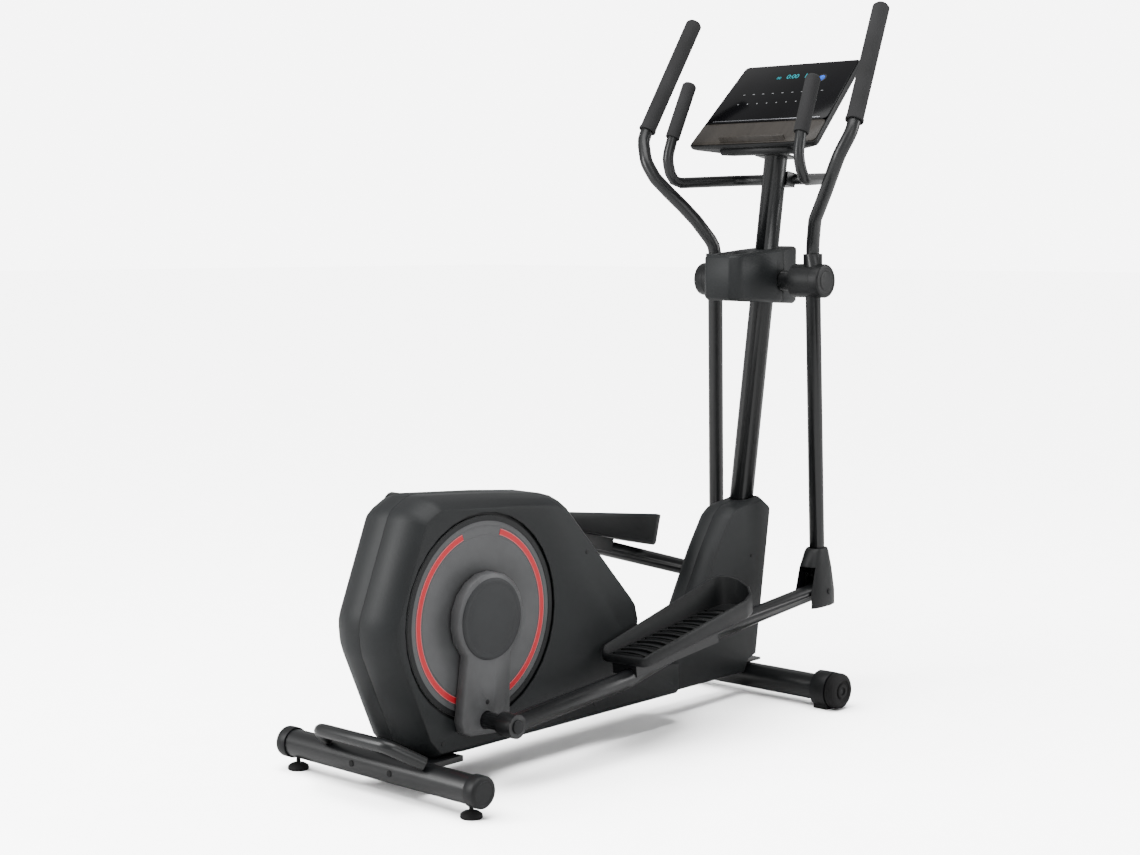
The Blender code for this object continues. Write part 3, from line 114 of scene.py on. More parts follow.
SOOT = (0.0060, 0.0066, 0.0072)
CHARCOAL = (0.0098, 0.0112, 0.0120)
MID_GREY = (0.0820, 0.0835, 0.0860)
DARK_GREY = (0.0220, 0.0235, 0.0250)
FOAM_GREY = (0.0190, 0.0190, 0.0198)
PIANO_BLACK = (0.0022, 0.0022, 0.0028)
BRONZE_BROWN = (0.030, 0.026, 0.022)
MATERIALS = {
    "powder_coat": finish("semi_gloss_powder_coat", SOOT, 0.34, grain=650, depth=0.16, shine=0.5),
    "charcoal_plastic": finish("charcoal_moulded_plastic", CHARCOAL, 0.50, depth=0.30),
    "black_plastic": finish("satin_black_plastic", SOOT, 0.46, depth=0.22),
    "disc_plastic": finish("mid_grey_disc_plastic", MID_GREY, 0.42, grain=1100, depth=0.14),
    "cap_plastic": finish("dark_grey_cap_plastic", DARK_GREY, 0.48, depth=0.20),
    "foam": finish("closed_cell_foam", FOAM_GREY, 0.86, grain=520, depth=0.75, drift=0.30),
    "rubber": finish("tyre_rubber", (0.0060, 0.0060, 0.0063), 0.72, grain=300, depth=0.40),
    "steel": finish("machined_steel", (0.52, 0.52, 0.53), 0.30, 1.0, 500, 0.10, stretch=(1, 20, 1)),
    "cast_iron": finish("turned_cast_iron", (0.30, 0.30, 0.31), 0.42, 1.0, 260, 0.30),
    "zinc": finish("zinc_plate", (0.46, 0.47, 0.50), 0.36, 1.0, 240, 0.12),
    "gloss_panel": finish("gloss_black_panel", PIANO_BLACK, 0.12, depth=0.0, drift=0.4, shine=0.14),
    "tray": finish("bronze_brown_tray", BRONZE_BROWN, 0.34, grain=700, depth=0.10, stretch=(1, 9, 1)),
}
print("finishes:", ", ".join(MATERIALS))


# %% [markdown]
# ## Soft edges on the ready solids
# The solids are loose triangles with razor edges. A real moulding has a radius on every edge, and
# that thin line of light is what the eye reads as plastic. Each solid is copied, its points are
# merged, its flat areas are joined into single faces, and a small bevel rounds what is left.

# %% Selecting one thing at a time
def only(obj):
    bpy.ops.object.select_all(action="DESELECT")
    obj.select_set(True)
    bpy.context.view_layer.objects.active = obj


def apply_all(obj):
    only(obj)
    for mod in list(obj.modifiers):
        bpy.ops.object.modifier_apply(modifier=mod.name)


def settle(obj, angle=40):
    """Leaves a piece at the origin, with its place in its mesh and its curved faces smooth."""
    only(obj)
    bpy.ops.object.transform_apply(location=True, rotation=True, scale=True)
    bpy.ops.object.shade_smooth_by_angle(angle=math.radians(angle))
    return obj


def belongs(obj, body, slot, *hidden, mat=None):
    obj.data.materials.clear()
    obj.data.materials.append(mat or MATERIALS[slot])
    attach(obj, body)
    if hidden:
        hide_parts(*hidden)
    return obj


# %% Round the edges of a solid
MERGE_WITHIN = 0.00002
FLAT_WITHIN = math.radians(0.6)


def soften(node, radius, angle=48):
    source = frame["nodes"][node]
    obj = bpy.data.objects.new(node + "_finished", source.data.copy())
    bpy.context.scene.collection.objects.link(obj)
    only(obj)
    bpy.ops.object.mode_set(mode="EDIT")
    bpy.ops.mesh.select_all(action="SELECT")
    bpy.ops.mesh.remove_doubles(threshold=MERGE_WITHIN)
    bpy.ops.mesh.dissolve_limited(angle_limit=FLAT_WITHIN)
    bpy.ops.object.mode_set(mode="OBJECT")
    if radius:
        edge = obj.modifiers.new("edge", "BEVEL")
        edge.width = radius
        edge.segments = 2
        edge.limit_method = "ANGLE"
        edge.angle_limit = math.radians(angle)
        apply_all(obj)
    settle(obj, angle)
    return belongs(obj, BODY_OF[node], SLOT_OF[node], node)


# The bevel's width by the start of a solid's name. A solid that isn't here keeps its own edges.
EDGE = {
    "drive_shroud": 0.0016, "mast_cover": 0.0016, "mid_cover": 0.0020, "crank_cover": 0.0010,
    "console_housing": 0.0015, "console_fascia": 0.0010, "console_tray": 0.0010, "pedal_right": 0.0012,
    "pedal_left": 0.0012, "arm_boot": 0.0008, "main_frame": 0.0008, "fixed_handlebar": 0.0006,
    "front_cap": 0.0015,
}
HIDDEN_INSIDE = {
    "crank_axle", "crank_bearing", "drive_pulley", "flywheel", "flywheel_axle", "magnet_brake", "brake_pivot",
    "resistance_motor", "wire_harness", "drive_belt", "crank_arm_right", "crank_arm_left", "pivot_axle",
}
TURNED = ("crank_disc_", "hub_cap_", "hub_cover_", "transport_wheel_", "rear_cap_", "levelling_foot_")
softened = 0
for node, obj in frame["nodes"].items():
    obj.data.materials.clear()
    obj.data.materials.append(MATERIALS[SLOT_OF[node]])
    if node in HIDDEN_INSIDE or node.startswith(TURNED):
        continue
    width = next((w for start, w in EDGE.items() if node.startswith(start)), 0.0)
    soften(node, width)
    softened += 1
print("finished", softened, "solids")


# %% [markdown]
# ## Round pieces
# Discs, caps, wheels and feet are turned shapes. Each one starts as a circle with a filled face.
# That face is extruded along the axis and scaled, over and over, like a potter drawing up a wall,
# so one list of radii and heights describes the piece. The many sides keep its rim truly round.

# %% Draw up a turned piece
def drawn(name, centre, out, profile, sides=72):
    """profile is (radius, height) along the direction out, from the inner face to the last one."""
    out = Vector(out).normalized()
    turn = out.to_track_quat("Z", "Y").to_euler()
    start = Vector(centre) + out * profile[0][1]
    bpy.ops.object.select_all(action="DESELECT")
    bpy.ops.mesh.primitive_circle_add(
        vertices=sides, radius=profile[0][0], fill_type="NGON", location=start, rotation=turn)
    obj = bpy.context.object
    obj.name = name
    bpy.ops.object.transform_apply(location=True, rotation=True, scale=True)
    bpy.ops.object.mode_set(mode="EDIT")
    bpy.ops.mesh.select_all(action="SELECT")
    for (radius, height), (wider, higher) in zip(profile, profile[1:]):
        bpy.ops.mesh.extrude_region_move(TRANSFORM_OT_translate={"value": out * (higher - height)})
        size = wider / radius
        middle = Vector(centre) + out * higher
        bpy.ops.transform.resize(value=(size, size, size), center_override=middle)
    bpy.ops.mesh.select_all(action="SELECT")
    bpy.ops.mesh.normals_make_consistent(inside=False)
    bpy.ops.object.mode_set(mode="OBJECT")
    return settle(obj, 32)


def at(x, y, z):
    return Vector((x + SHIFT, y, z))


def facing(middle, right, up, out):
    """The matrix that lays a piece made at the origin on a surface with these directions."""
    return Matrix.Translation(middle) @ Matrix((right, up, out)).transposed().to_4x4()


CRANK = Vector(next(j for j in frame["joints"] if j["name"] == "crank_spin")["pos_m"])
print("crank axis at", [round(c, 4) for c in CRANK])

# %% [markdown]
# ## Crank discs and their hub caps
# The grey disc turns with the crank in a round opening of the housing. Its face is slightly
# dished, with a raised rim and a shallow groove where the coloured ring is pressed in. The hub
# cap is a low dome with a rolled edge. Both are drawn from profiles.

# %% Discs and hub caps
EYE = 0.0120  # radius of the flat middle of a disc, under the crank cover
GROOVE_INNER, GROOVE_OUTER, GROOVE_WALL = 0.1735, 0.1925, 0.0010
DISH_EDGE = 0.1180
for name, side in SIDES:
    low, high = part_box("crank_disc_" + name)
    face = max(abs(low[1]), abs(high[1]))
    rim = (high[0] - low[0]) / 2
    spot = Vector((CRANK.x, 0, CRANK.z))
    disc = drawn("crank_disc_face_" + name, spot, (0, side, 0), [
        (EYE, face - 0.0045), (rim - 0.004, face - 0.0045), (rim, face - 0.0040), (rim, face - 0.0010),
        (rim - 0.0012, face), (rim - 0.0075, face), (rim - 0.0085, face - 0.0012),
        (GROOVE_OUTER + GROOVE_WALL, face - 0.0012), (GROOVE_OUTER, face - 0.0022),
        (GROOVE_INNER, face - 0.0022), (GROOVE_INNER - GROOVE_WALL, face - 0.0012),
        (DISH_EDGE, face - 0.0016), (DISH_EDGE - 0.0010, face - 0.0022), (EYE, face - 0.0022)], 128)
    belongs(disc, "crank", "disc_plastic", "crank_disc_" + name)
    low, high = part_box("hub_cap_" + name)
    near, far = sorted((abs(low[1]), abs(high[1])))
    rim = (high[0] - low[0]) / 2
    cap = drawn("hub_cap_dome_" + name, spot, (0, side, 0), [
        (rim - 0.001, near), (rim, near + 0.0006), (rim - 0.0006, near + 0.0018),
        (rim - 0.0030, near + 0.0030), (rim - 0.0070, near + 0.0038), (rim - 0.0110, near + 0.0034),
        (rim - 0.0130, near + 0.0034),
        (rim - 0.0170, near + 0.0042), (rim * 0.55, far - 0.0002), (rim * 0.2, far), (0.0040, far)], 96)
    belongs(cap, "crank", "cap_plastic", "hub_cap_" + name)
print("disc and cap on each side")

# %% [markdown]
# ## The coloured ring
# A pinkish red band runs round the disc, broken at the top. On the real disc it is a thin moulded
# strip in its own groove. A paler line along each edge of it is a painted highlight. It is made
# from a circle that is extruded and scaled into a flat band, cut at the gap, and given its
# thickness. The same steps make the disc's dark rim and the black sheet behind it, whose black
# is painted shade in the opening.

# %% A finish whose colour follows the distance from the crank
def banded(name, stops, rough):
    made = finish(name, (0.5, 0.05, 0.07), rough, depth=0.05)
    nodes, links = made.node_tree.nodes, made.node_tree.links
    place = nodes.new("ShaderNodeTexCoord")
    centred = nodes.new("ShaderNodeMapping")
    centred.inputs["Location"].default_value = (-CRANK.x, 0, -CRANK.z)
    flat = nodes.new("ShaderNodeVectorMath")
    flat.operation = "MULTIPLY"
    flat.inputs[1].default_value = (1, 0, 1)
    reach = nodes.new("ShaderNodeVectorMath")
    reach.operation = "LENGTH"
    ramp = nodes.new("ShaderNodeValToRGB")
    ramp.color_ramp.interpolation = "CONSTANT"
    near, far = stops[0][0], stops[-1][0]
    span = nodes.new("ShaderNodeMapRange")
    span.inputs["From Min"].default_value = near
    span.inputs["From Max"].default_value = far
    while len(ramp.color_ramp.elements) < len(stops):
        ramp.color_ramp.elements.new(0.5)
    for element, (radius, colour) in zip(ramp.color_ramp.elements, stops):
        element.position = (radius - near) / (far - near)
        element.color = (*colour, 1)
    links.new(place.outputs["Object"], centred.inputs["Vector"])
    links.new(centred.outputs["Vector"], flat.inputs[0])
    links.new(flat.outputs["Vector"], reach.inputs[0])
    links.new(reach.outputs["Value"], span.inputs["Value"])
    links.new(span.outputs["Result"], ramp.inputs["Fac"])
    links.new(ramp.outputs["Color"], nodes["Principled BSDF"].inputs["Base Color"])
    return made


# The paler pink along both edges of the red strip is a painted highlight.
RED, EDGE_HIGHLIGHT = (0.50, 0.018, 0.028), (0.58, 0.13, 0.14)
RING_INNER, RING_OUTER, EDGE_HIGHLIGHT_WIDTH = 0.1765, 0.1900, 0.0015
RING = banded("ring_red", [
    (RING_INNER, EDGE_HIGHLIGHT), (RING_INNER + EDGE_HIGHLIGHT_WIDTH, RED), (RING_OUTER - EDGE_HIGHLIGHT_WIDTH, EDGE_HIGHLIGHT), (RING_OUTER, EDGE_HIGHLIGHT),
], 0.40)

# %% A flat band round the crank axis
STRIP_THICK = 0.0014
STRIP_EDGE = 0.0003


def band(name, inner, outer, depth, gap, mat, body="crank", slot="disc_plastic"):
    """A thin strip between two radii. It is open at the top, by the angle gap to each side."""
    spot = Vector((CRANK.x, depth, CRANK.z))
    bpy.ops.object.select_all(action="DESELECT")
    bpy.ops.mesh.primitive_circle_add(vertices=144, radius=inner, fill_type="NOTHING", location=spot,
                                      rotation=(math.pi / 2, 0, 0))
    ring = bpy.context.object
    ring.name = name
    bpy.ops.object.transform_apply(location=True, rotation=True, scale=True)
    bpy.ops.object.mode_set(mode="EDIT")
    bpy.ops.mesh.select_all(action="SELECT")
    bpy.ops.mesh.extrude_region_move(TRANSFORM_OT_translate={"value": (0, 0, 0)})
    grow = outer / inner
    bpy.ops.transform.resize(value=(grow, grow, grow), center_override=spot)
    bpy.ops.mesh.select_all(action="DESELECT")
    bpy.ops.object.mode_set(mode="OBJECT")
    for piece in ring.data.polygons:
        away = piece.center - spot
        piece.select = abs(math.atan2(away.x, away.z)) < gap
    bpy.ops.object.mode_set(mode="EDIT")
    bpy.ops.mesh.delete(type="FACE")
    bpy.ops.mesh.select_all(action="SELECT")
    bpy.ops.mesh.normals_make_consistent(inside=False)
    bpy.ops.object.mode_set(mode="OBJECT")
    wall = ring.modifiers.new("wall", "SOLIDIFY")
    wall.thickness = STRIP_THICK
    wall.offset = 0.0
    edge = ring.modifiers.new("edge", "BEVEL")
    edge.width = STRIP_EDGE
    edge.limit_method = "ANGLE"
    apply_all(ring)
    settle(ring, 30)
    return belongs(ring, body, slot, mat=mat)


# %% The red ring, the dark rim and a black sheet of painted shade in each disc's opening
GAP_ANGLE = math.radians(17)
RIM_INNER, RIM_OUTER = 0.2035, 0.2148
SHADE_SHEET_INNER, SHADE_SHEET_OUTER, SHADE_SHEET_Y = 0.1800, 0.2280, 0.0815
BLACK = MATERIALS["black_plastic"]
for name, side in SIDES:
    face = max(abs(c[1]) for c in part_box("crank_disc_" + name))
    band("disc_ring_" + name, RING_INNER, RING_OUTER, side * (face - 0.0018), GAP_ANGLE, RING)
    band("disc_rim_" + name, RIM_INNER, RIM_OUTER, side * (face - 0.0006), 0.0, BLACK)
    # The black sheet stays with the housing and closes the view past the disc's edge.
    # Its black is painted shade for the dark gap round the disc.
    band("opening_shade_sheet_" + name, SHADE_SHEET_INNER, SHADE_SHEET_OUTER, side * SHADE_SHEET_Y, 0.0, BLACK, "root",
         "charcoal_plastic")
print("ring, rim and liner on each side")

# %% [markdown]
# ## Hub covers, wheels, end caps and feet
# These are all plain turned mouldings, so they come from profiles too. The hub cover at each swing
# pivot is a deep cup with a stepped face. The wheel has a tyre with rounded shoulders and a
# recessed hub. A rear end cap is slightly larger than its tube, with a rolled outer edge.

# %% Turned mouldings on both sides
for name, side in SIDES:
    out = (0, side, 0)
    low, high = (Vector(c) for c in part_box("hub_cover_" + name))
    mid, r, half = (low + high) / 2, (high.x - low.x) / 2, (high.y - low.y) / 2
    cover = drawn("swing_hub_" + name, mid, out, [
        (r - 0.002, -half), (r, -half + 0.001), (r, half - 0.0290), (r - 0.0006, half - 0.0284),
        (r - 0.0006, half - 0.0268), (r, half - 0.0262), (r, half - 0.0060), (r - 0.0010, half - 0.0030),
        (r - 0.0035, half - 0.0010), (r - 0.0065, half - 0.0004), (r - 0.0090, half - 0.0004),
        (r - 0.0100, half - 0.0016), (r - 0.0160, half - 0.0016), (r - 0.0175, half - 0.0004),
        (r - 0.0200, half), (0.004, half)], 80)
    belongs(cover, "swing_" + name, "black_plastic", "hub_cover_" + name)
    low, high = (Vector(c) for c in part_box("transport_wheel_" + name))
    mid, r, half = (low + high) / 2, (high.z - low.z) / 2, (high.y - low.y) / 2
    wheel = drawn("wheel_" + name, mid, out, [
        (0.0120, -half), (r - 0.008, -half), (r - 0.002, -half + 0.0015), (r, -half + 0.0050),
        (r, half - 0.0100), (r - 0.0016, half - 0.0045), (r - 0.0055, half - 0.0012), (r - 0.0105, half),
        (r - 0.0150, half), (r - 0.0170, half - 0.0030), (0.0190, half - 0.0050), (0.0175, half - 0.0010),
        (0.0150, half - 0.0002), (0.0095, half - 0.0002), (0.0085, half - 0.0060), (0.0040, half - 0.0060)])
    belongs(wheel, "wheel_" + name, "rubber", "transport_wheel_" + name)
    low, high = (Vector(c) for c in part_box("rear_cap_" + name))
    mid, r, half = (low + high) / 2, (high.z - low.z) / 2, (high.y - low.y) / 2
    cap = drawn("rear_end_cap_" + name, mid, out, [
        (r - 0.004, half - 0.0298), (r - 0.0005, half - 0.0298), (r, half - 0.0290), (r, half - 0.0070),
        (r - 0.0010, half - 0.0035), (r - 0.0030, half - 0.0012), (r - 0.0060, half - 0.0002),
        (r - 0.0100, half - 0.0002), (r - 0.0108, half - 0.0010), (0.004, half - 0.0010)], 64)
    belongs(cap, "root", "black_plastic", "rear_cap_" + name)
    low, high = (Vector(c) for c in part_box("levelling_foot_" + name))
    mid, r = (low + high) / 2, (high.x - low.x) / 2
    mid.z = 0.0
    foot = drawn("foot_" + name, mid, (0, 0, 1), [
        (r - 0.0015, 0.0), (r - 0.0004, 0.0012), (r, 0.0030), (r - 0.0008, 0.0080), (r - 0.0045, 0.0110),
        (r - 0.0090, 0.0135), (0.0080, 0.0150), (0.0046, 0.0160), (0.0046, high.z)], 48)
    belongs(foot, "foot_" + name, "rubber", "levelling_foot_" + name)
print("turned mouldings done")

# %% [markdown]
# ## Screws and bolts
# Small fasteners tell the size of a machine. A pan screw is a short cylinder whose face is inset
# and pushed in for the drive. It is made once at the origin, with a radius of one, and copied to
# each place at its own size, every copy with its own mesh, turned to look out of the surface.

# %% One pan screw with a round recess
bpy.ops.object.select_all(action="DESELECT")
bpy.ops.mesh.primitive_cylinder_add(vertices=24, radius=1.0, depth=0.6, location=(0, 0, 0))
SCREW = bpy.context.object
SCREW.name = "screw_pattern"
for piece in SCREW.data.polygons:
    piece.select = piece.normal.z > 0.9
bpy.ops.object.mode_set(mode="EDIT")
bpy.ops.mesh.inset(thickness=0.42)
bpy.ops.mesh.extrude_region_move(TRANSFORM_OT_translate={"value": (0, 0, -0.34)})
bpy.ops.object.mode_set(mode="OBJECT")
round_edge = SCREW.modifiers.new("edge", "BEVEL")
round_edge.width = 0.14
round_edge.segments = 3
round_edge.limit_method = "ANGLE"
round_edge.angle_limit = math.radians(50)
apply_all(SCREW)


def fasten(name, spot, out, radius, body, slot="black_plastic"):
    copy = bpy.data.objects.new(name, SCREW.data.copy())
    bpy.context.scene.collection.objects.link(copy)
    turn = Vector(out).normalized().to_track_quat("Z", "Y").to_matrix().to_4x4()
    copy.data.transform(Matrix.Translation(spot) @ turn @ Matrix.Diagonal((radius, radius, radius, 1)))
    settle(copy, 40)
    return belongs(copy, body, slot)


# %% Fasteners of the housing, the covers and the linkage
LOWER = {name: Vector(next(j for j in frame["joints"] if j["name"] == "pedal_" + name + "_hinge")["pos_m"])
         for name, side in SIDES}
PIN = {"right": at(0.1932, 0, 0.1362), "left": at(0.2258, 0, 0.5608)}
HOUSING_SCREWS = (("upper", 0.538, 0.4473), ("rear", 0.0904, 0.0990), ("front", 0.5653, 0.0990))
COVER_SCREW_X, COVER_SCREW_Z = 1.2079, 0.3527
TUBE_BACK_X, TUBE_HOLE_SHADE_Z = -0.0292, 0.0560
HOUSING_Y, MAST_COVER_Y, CRANK_COVER_Y = 0.0908, 0.0448, 0.1163  # each face's distance from the middle
BOOT_HALF = 0.0352
CRANK_SCREW_REACH = 0.1750
SMALL, MEDIUM, TUBE_HOLE_SHADE, BOOT_BOLT, ARM_BOLT = 0.0046, 0.0050, 0.0068, 0.0075, 0.0150  # head radii

for name, side in SIDES:
    out = (0, side, 0)
    for tag, x, z in HOUSING_SCREWS:
        fasten("housing_screw_" + tag + "_" + name, at(x, side * HOUSING_Y, z), out, SMALL, "root")
    fasten("cover_screw_" + name, at(COVER_SCREW_X, side * MAST_COVER_Y, COVER_SCREW_Z), out, SMALL, "root")
    away = Vector((PIN[name].x - CRANK.x, 0, PIN[name].z - CRANK.z)).normalized()
    spot = Vector((CRANK.x, side * CRANK_COVER_Y, CRANK.z)) + away * CRANK_SCREW_REACH
    fasten("crank_screw_" + name, spot, out, MEDIUM, "crank")
    low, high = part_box("pedal_arm_" + name)
    outer = max(abs(low[1]), abs(high[1]))
    spot = Vector((PIN[name].x, side * (outer - 0.0004), PIN[name].z))
    fasten("arm_bolt_" + name, spot, out, ARM_BOLT, "pedal_" + name)
    for way in (-1, 1):
        spot = LOWER[name] + Vector((0, way * BOOT_HALF, 0))
        face = "in_" if way * side < 0 else "out_"
        fasten("boot_bolt_" + face + name, spot, (0, way, 0), BOOT_BOLT, "swing_" + name)
# The two discs on the back of the rear tube are tyre rubber, darker than the other screws. Their black is painted
# shade for the holes there.
for k, y in enumerate((-0.0575, 0.0580)):
    fasten("tube_hole_shade_%d" % k, at(TUBE_BACK_X, y, TUBE_HOLE_SHADE_Z), (-1, 0, 0), TUBE_HOLE_SHADE, "root", "rubber")
bpy.data.objects.remove(SCREW)
print("fasteners placed")

# %% [markdown]
# ## Tread ribs
# A shoe is held by rows of low arched ribs across each tray. The solid has a few straight ones, so
# an arched rib goes between each pair and one over each of them. A rib starts as a cube, is
# subdivided across the tray, and its middle is moved forward to make the arch.

# %% Ribs on both trays
RIBS = 13
RIB_SIZE = (0.0082, 0.1030, 0.0060)
RIB_ARCH, RIB_BACK, RIB_DROP = 0.0140, 0.004, 0.0016
RIB_HEIGHT = 0.0100
TRAY_START, TRAY_LENGTH = 0.372, 0.462  # along the pedal arm, from the crank pin
TRAY_FLOOR, TRAY_SLOPE = 0.0222, 0.030
TRAY_Y = 0.1685
FIRST_RIB, END_MARGIN = 0.045, 0.125  # the second is the length left without ribs at both ends together


def tray_frame(name, side):
    """A function from a place on the tray to a point, and the tray's own directions."""
    pin = PIN[name]
    line = Vector((LOWER[name].x - pin.x, 0, LOWER[name].z - pin.z)).normalized()
    up = Vector((-line.z, 0, line.x))

    def spot(along, height, y):
        lift = TRAY_FLOOR + TRAY_SLOPE * (along - TRAY_START) + height
        return Vector((pin.x, 0, pin.z)) + line * along + up * lift + Vector((0, side * y, 0))

    return spot, line, up


for name, side in SIDES:
    spot, line, up = tray_frame(name, side)
    made = []
    for k in range(RIBS):
        along = TRAY_START + FIRST_RIB + k * (TRAY_LENGTH - END_MARGIN) / (RIBS - 1)
        bpy.ops.object.select_all(action="DESELECT")
        bpy.ops.mesh.primitive_cube_add(size=1.0, location=(0, 0, 0), scale=RIB_SIZE)
        rib = bpy.context.object
        bpy.ops.object.transform_apply(location=True, rotation=True, scale=True)
        bpy.ops.object.mode_set(mode="EDIT")
        bpy.ops.mesh.select_all(action="SELECT")
        bpy.ops.mesh.subdivide(number_cuts=11)
        bpy.ops.object.mode_set(mode="OBJECT")
        for point in rib.data.vertices:
            share = point.co.y / (RIB_SIZE[1] / 2)
            point.co.x += RIB_ARCH * (1 - share * share) - RIB_BACK
            if point.co.z > 0:
                point.co.z -= RIB_DROP * abs(share) ** 3
        rib.data.transform(facing(spot(along, RIB_HEIGHT, TRAY_Y), line, Vector((0, 1, 0)), up))
        made.append(rib)
    bpy.ops.object.select_all(action="DESELECT")
    for rib in made:
        rib.select_set(True)
    bpy.context.view_layer.objects.active = made[0]
    bpy.ops.object.join()
    ribs = bpy.context.object
    ribs.name = "tread_ribs_" + name
    edge = ribs.modifiers.new("edge", "BEVEL")
    edge.width = 0.0012
    edge.segments = 2
    edge.limit_method = "ANGLE"
    edge.angle_limit = math.radians(60)
    apply_all(ribs)
    settle(ribs, 50)
    belongs(ribs, "pedal_" + name, "black_plastic")
print(RIBS, "ribs on each tray")

# %% [markdown]
# ## Console
# The display is a black window with teal figures, a row of small keys and one round blue light.
# Figures are text turned into mesh and laid on the sloping face. They shine a little, so their
# material is emissive.

# %% The face's own directions
FACE_LOW, FACE_HIGH = at(1.2450, 0, 1.3740), at(1.4630, 0, 1.5860)
UP_FACE = (FACE_HIGH - FACE_LOW).normalized()
OUT_FACE = Vector((-UP_FACE.z, 0, UP_FACE.x))
RIGHT_FACE = Vector((0, -1, 0))


def on_face(share, right, lift=0.0):
    return FACE_LOW.lerp(FACE_HIGH, share) + RIGHT_FACE * right + OUT_FACE * lift


def lay(obj, share, right, lift=0.0004):
    """Puts a piece made at the origin on the face: share of the way up it, and right of its middle."""
    obj.data.transform(facing(on_face(share, right, lift), RIGHT_FACE, UP_FACE, OUT_FACE))


def glow(name, colour, strength):
    made = finish(name, colour, 0.35, depth=0.0)
    shader = made.node_tree.nodes["Principled BSDF"]
    shader.inputs["Emission Color"].default_value = (*colour, 1)
    shader.inputs["Emission Strength"].default_value = strength
    return made


TEAL = glow("teal_figures", (0.010, 0.200, 0.235), 1.0)
BLUE = glow("blue_light", (0.020, 0.130, 0.700), 1.4)
# The key marks are print, so their faint emission is a painted glow.
KEY_MARK_GLOW = glow("grey_key_marks_painted_glow", (0.200, 0.205, 0.210), 0.10)


# %% Figures, keys and the round light
FIGURE_THICK = 0.00015
KEY_THICK = 0.0006
KEYS, KEY_PITCH, FIRST_KEY = 9, 0.030, -0.120
DIAL = (0.780, 0.094)  # up the face, and right of its middle


def figures(name, words, size, share, right, mat):
    bpy.ops.object.select_all(action="DESELECT")
    bpy.ops.object.text_add(location=(0, 0, 0))
    text = bpy.context.object
    text.name = name
    text.data.body = words
    text.data.size = size
    text.data.extrude = FIGURE_THICK
    text.data.align_x = "CENTER"
    bpy.ops.object.convert(target="MESH")
    text = bpy.context.object
    lay(text, share, right)
    settle(text, 30)
    return belongs(text, "root", "gloss_panel", mat=mat)


figures("display_time", "0:00", 0.022, 0.800, 0.000, TEAL)
figures("display_level", "10", 0.022, 0.800, 0.046, TEAL)
figures("display_rate", "00", 0.013, 0.800, -0.042, TEAL)


def key(name, width, height, share, right, mat, sides=4):
    bpy.ops.object.select_all(action="DESELECT")
    turn = math.pi / 4 if sides == 4 else 0
    bpy.ops.mesh.primitive_cylinder_add(vertices=sides, radius=0.5 / math.cos(math.pi / sides), depth=1.0,
                                        location=(0, 0, 0), rotation=(0, 0, turn))
    obj = bpy.context.object
    obj.name = name
    bpy.ops.object.transform_apply(location=True, rotation=True, scale=True)
    obj.data.transform(Matrix.Diagonal((width, height, KEY_THICK, 1)))
    edge = obj.modifiers.new("edge", "BEVEL")
    edge.width = 0.0002
    edge.segments = 2
    apply_all(obj)
    lay(obj, share, right)
    settle(obj, 40)
    return belongs(obj, "root", "gloss_panel", mat=mat)


for row, width, height, share in (("upper", 0.0065, 0.0022, 0.620), ("lower", 0.0035, 0.0035, 0.500)):
    for k in range(KEYS):
        key("key_%s_%d" % (row, k), width, height, share, FIRST_KEY + KEY_PITCH * k, KEY_MARK_GLOW)
key("dial_light", 0.020, 0.020, *DIAL, BLUE, 40)
key("dial_ring", 0.030, 0.030, *DIAL, BLACK, 40)
key("ledge_line", 0.330, 0.0018, 0.292, 0.0, MATERIALS["zinc"])
print("console lit")

# %% [markdown]
# ## Floor, light and camera
# The floor is white and so is the room, as in a catalogue. Black things on white wash out when the
# white also lights them, so the room and the floor look bright but give the machine little light.
# A sun that only the floor receives draws the soft shadow, and area lights shape the machine.

# %% A stage that looks brighter than it shines
ROOM_LOOK, ROOM_LIGHT = 7.0, 0.55  # how bright the room looks, and how much it lights
FLOOR_WHITE, FLOOR_BOUNCE = 0.86, 0.16  # the floor as the camera sees it, and as it bounces light
SUN_STRENGTH, SUN_SPREAD = 24.0, math.radians(70)


def seen_or_felt(nodes):
    """One where the camera sees a surface directly, and zero for the light that the surface sends on."""
    return nodes.new("ShaderNodeLightPath").outputs["Is Camera Ray"]


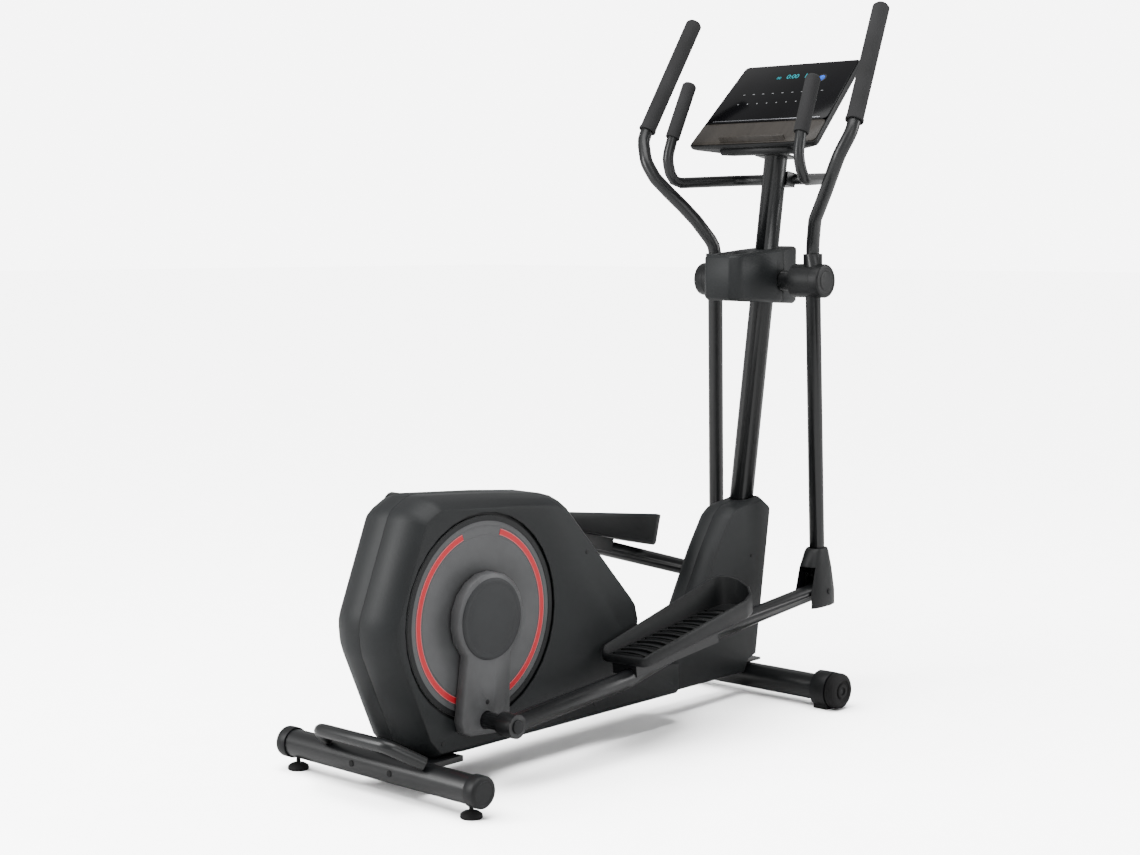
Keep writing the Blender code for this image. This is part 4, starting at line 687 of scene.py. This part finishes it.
floor_paint = finish("white_floor", (FLOOR_WHITE,) * 3, 0.70, grain=40, depth=0.0, drift=0.01, shine=0.1)
nodes, links = floor_paint.node_tree.nodes, floor_paint.node_tree.links
dim = nodes.new("ShaderNodeBsdfDiffuse")
dim.inputs["Color"].default_value = (*(FLOOR_BOUNCE,) * 3, 1)
both = nodes.new("ShaderNodeMixShader")
links.new(seen_or_felt(nodes), both.inputs["Fac"])
links.new(dim.outputs["BSDF"], both.inputs[1])
links.new(nodes["Principled BSDF"].outputs["BSDF"], both.inputs[2])
links.new(both.outputs["Shader"], nodes["Material Output"].inputs["Surface"])
bpy.ops.object.select_all(action="DESELECT")
bpy.ops.mesh.primitive_plane_add(size=120, location=(0, 0, 0))
floor = bpy.context.object
floor.name = "floor"
floor.data.materials.append(floor_paint)
world = bpy.context.scene.world or bpy.data.worlds.new("room")
bpy.context.scene.world = world
world.use_nodes = True
nodes, links = world.node_tree.nodes, world.node_tree.links
nodes["Background"].inputs["Color"].default_value = (1, 1, 1, 1)
strength = nodes.new("ShaderNodeMapRange")
strength.inputs["To Min"].default_value = ROOM_LIGHT
strength.inputs["To Max"].default_value = ROOM_LOOK
links.new(seen_or_felt(nodes), strength.inputs["Value"])
links.new(strength.outputs["Result"], nodes["Background"].inputs["Strength"])


# %% Soft lights
def lamp(name, kind, spot, aim):
    made = bpy.data.objects.new(name, bpy.data.lights.new(name, kind))
    bpy.context.scene.collection.objects.link(made)
    made.location = spot
    made.rotation_euler = (Vector(aim) - Vector(spot)).to_track_quat("-Z", "Y").to_euler()
    return made


def softbox(name, spot, aim, width, height, watts):
    made = lamp(name, "AREA", spot, aim)
    made.data.shape = "RECTANGLE"
    made.data.size, made.data.size_y, made.data.energy = width, height, watts


softbox("overhead", (-0.6, -0.4, 4.2), (0, 0, 0.6), 3.2, 3.2, 150)
softbox("left_strip", (-3.4, 1.9, 2.2), (0, 0, 0.7), 0.8, 2.6, 135)
softbox("front_fill", (-2.4, -4.2, 2.6), (0, 0, 0.7), 2.2, 2.2, 50)
softbox("right_edge", (2.6, -2.6, 2.0), (0.4, 0, 0.9), 0.8, 2.4, 55)
sun = lamp("floor_sun", "SUN", (-1.2, 1.0, 6.0), (0, 0, 0))
sun.data.energy = SUN_STRENGTH
sun.data.angle = SUN_SPREAD
only_floor = bpy.data.collections.new("only_floor")
only_floor.objects.link(floor)
sun.light_linking.receiver_collection = only_floor

# %% Camera
view = bpy.data.cameras.new("camera")
view.lens = 61.02
view.sensor_width = 36
eye = bpy.data.objects.new("camera", view)
eye.location = at(-2.6328, -2.9099, 1.1372)
eye.rotation_euler = (math.radians(84.450), 0, math.radians(-47.851))
bpy.context.scene.collection.objects.link(eye)
bpy.context.scene.camera = eye
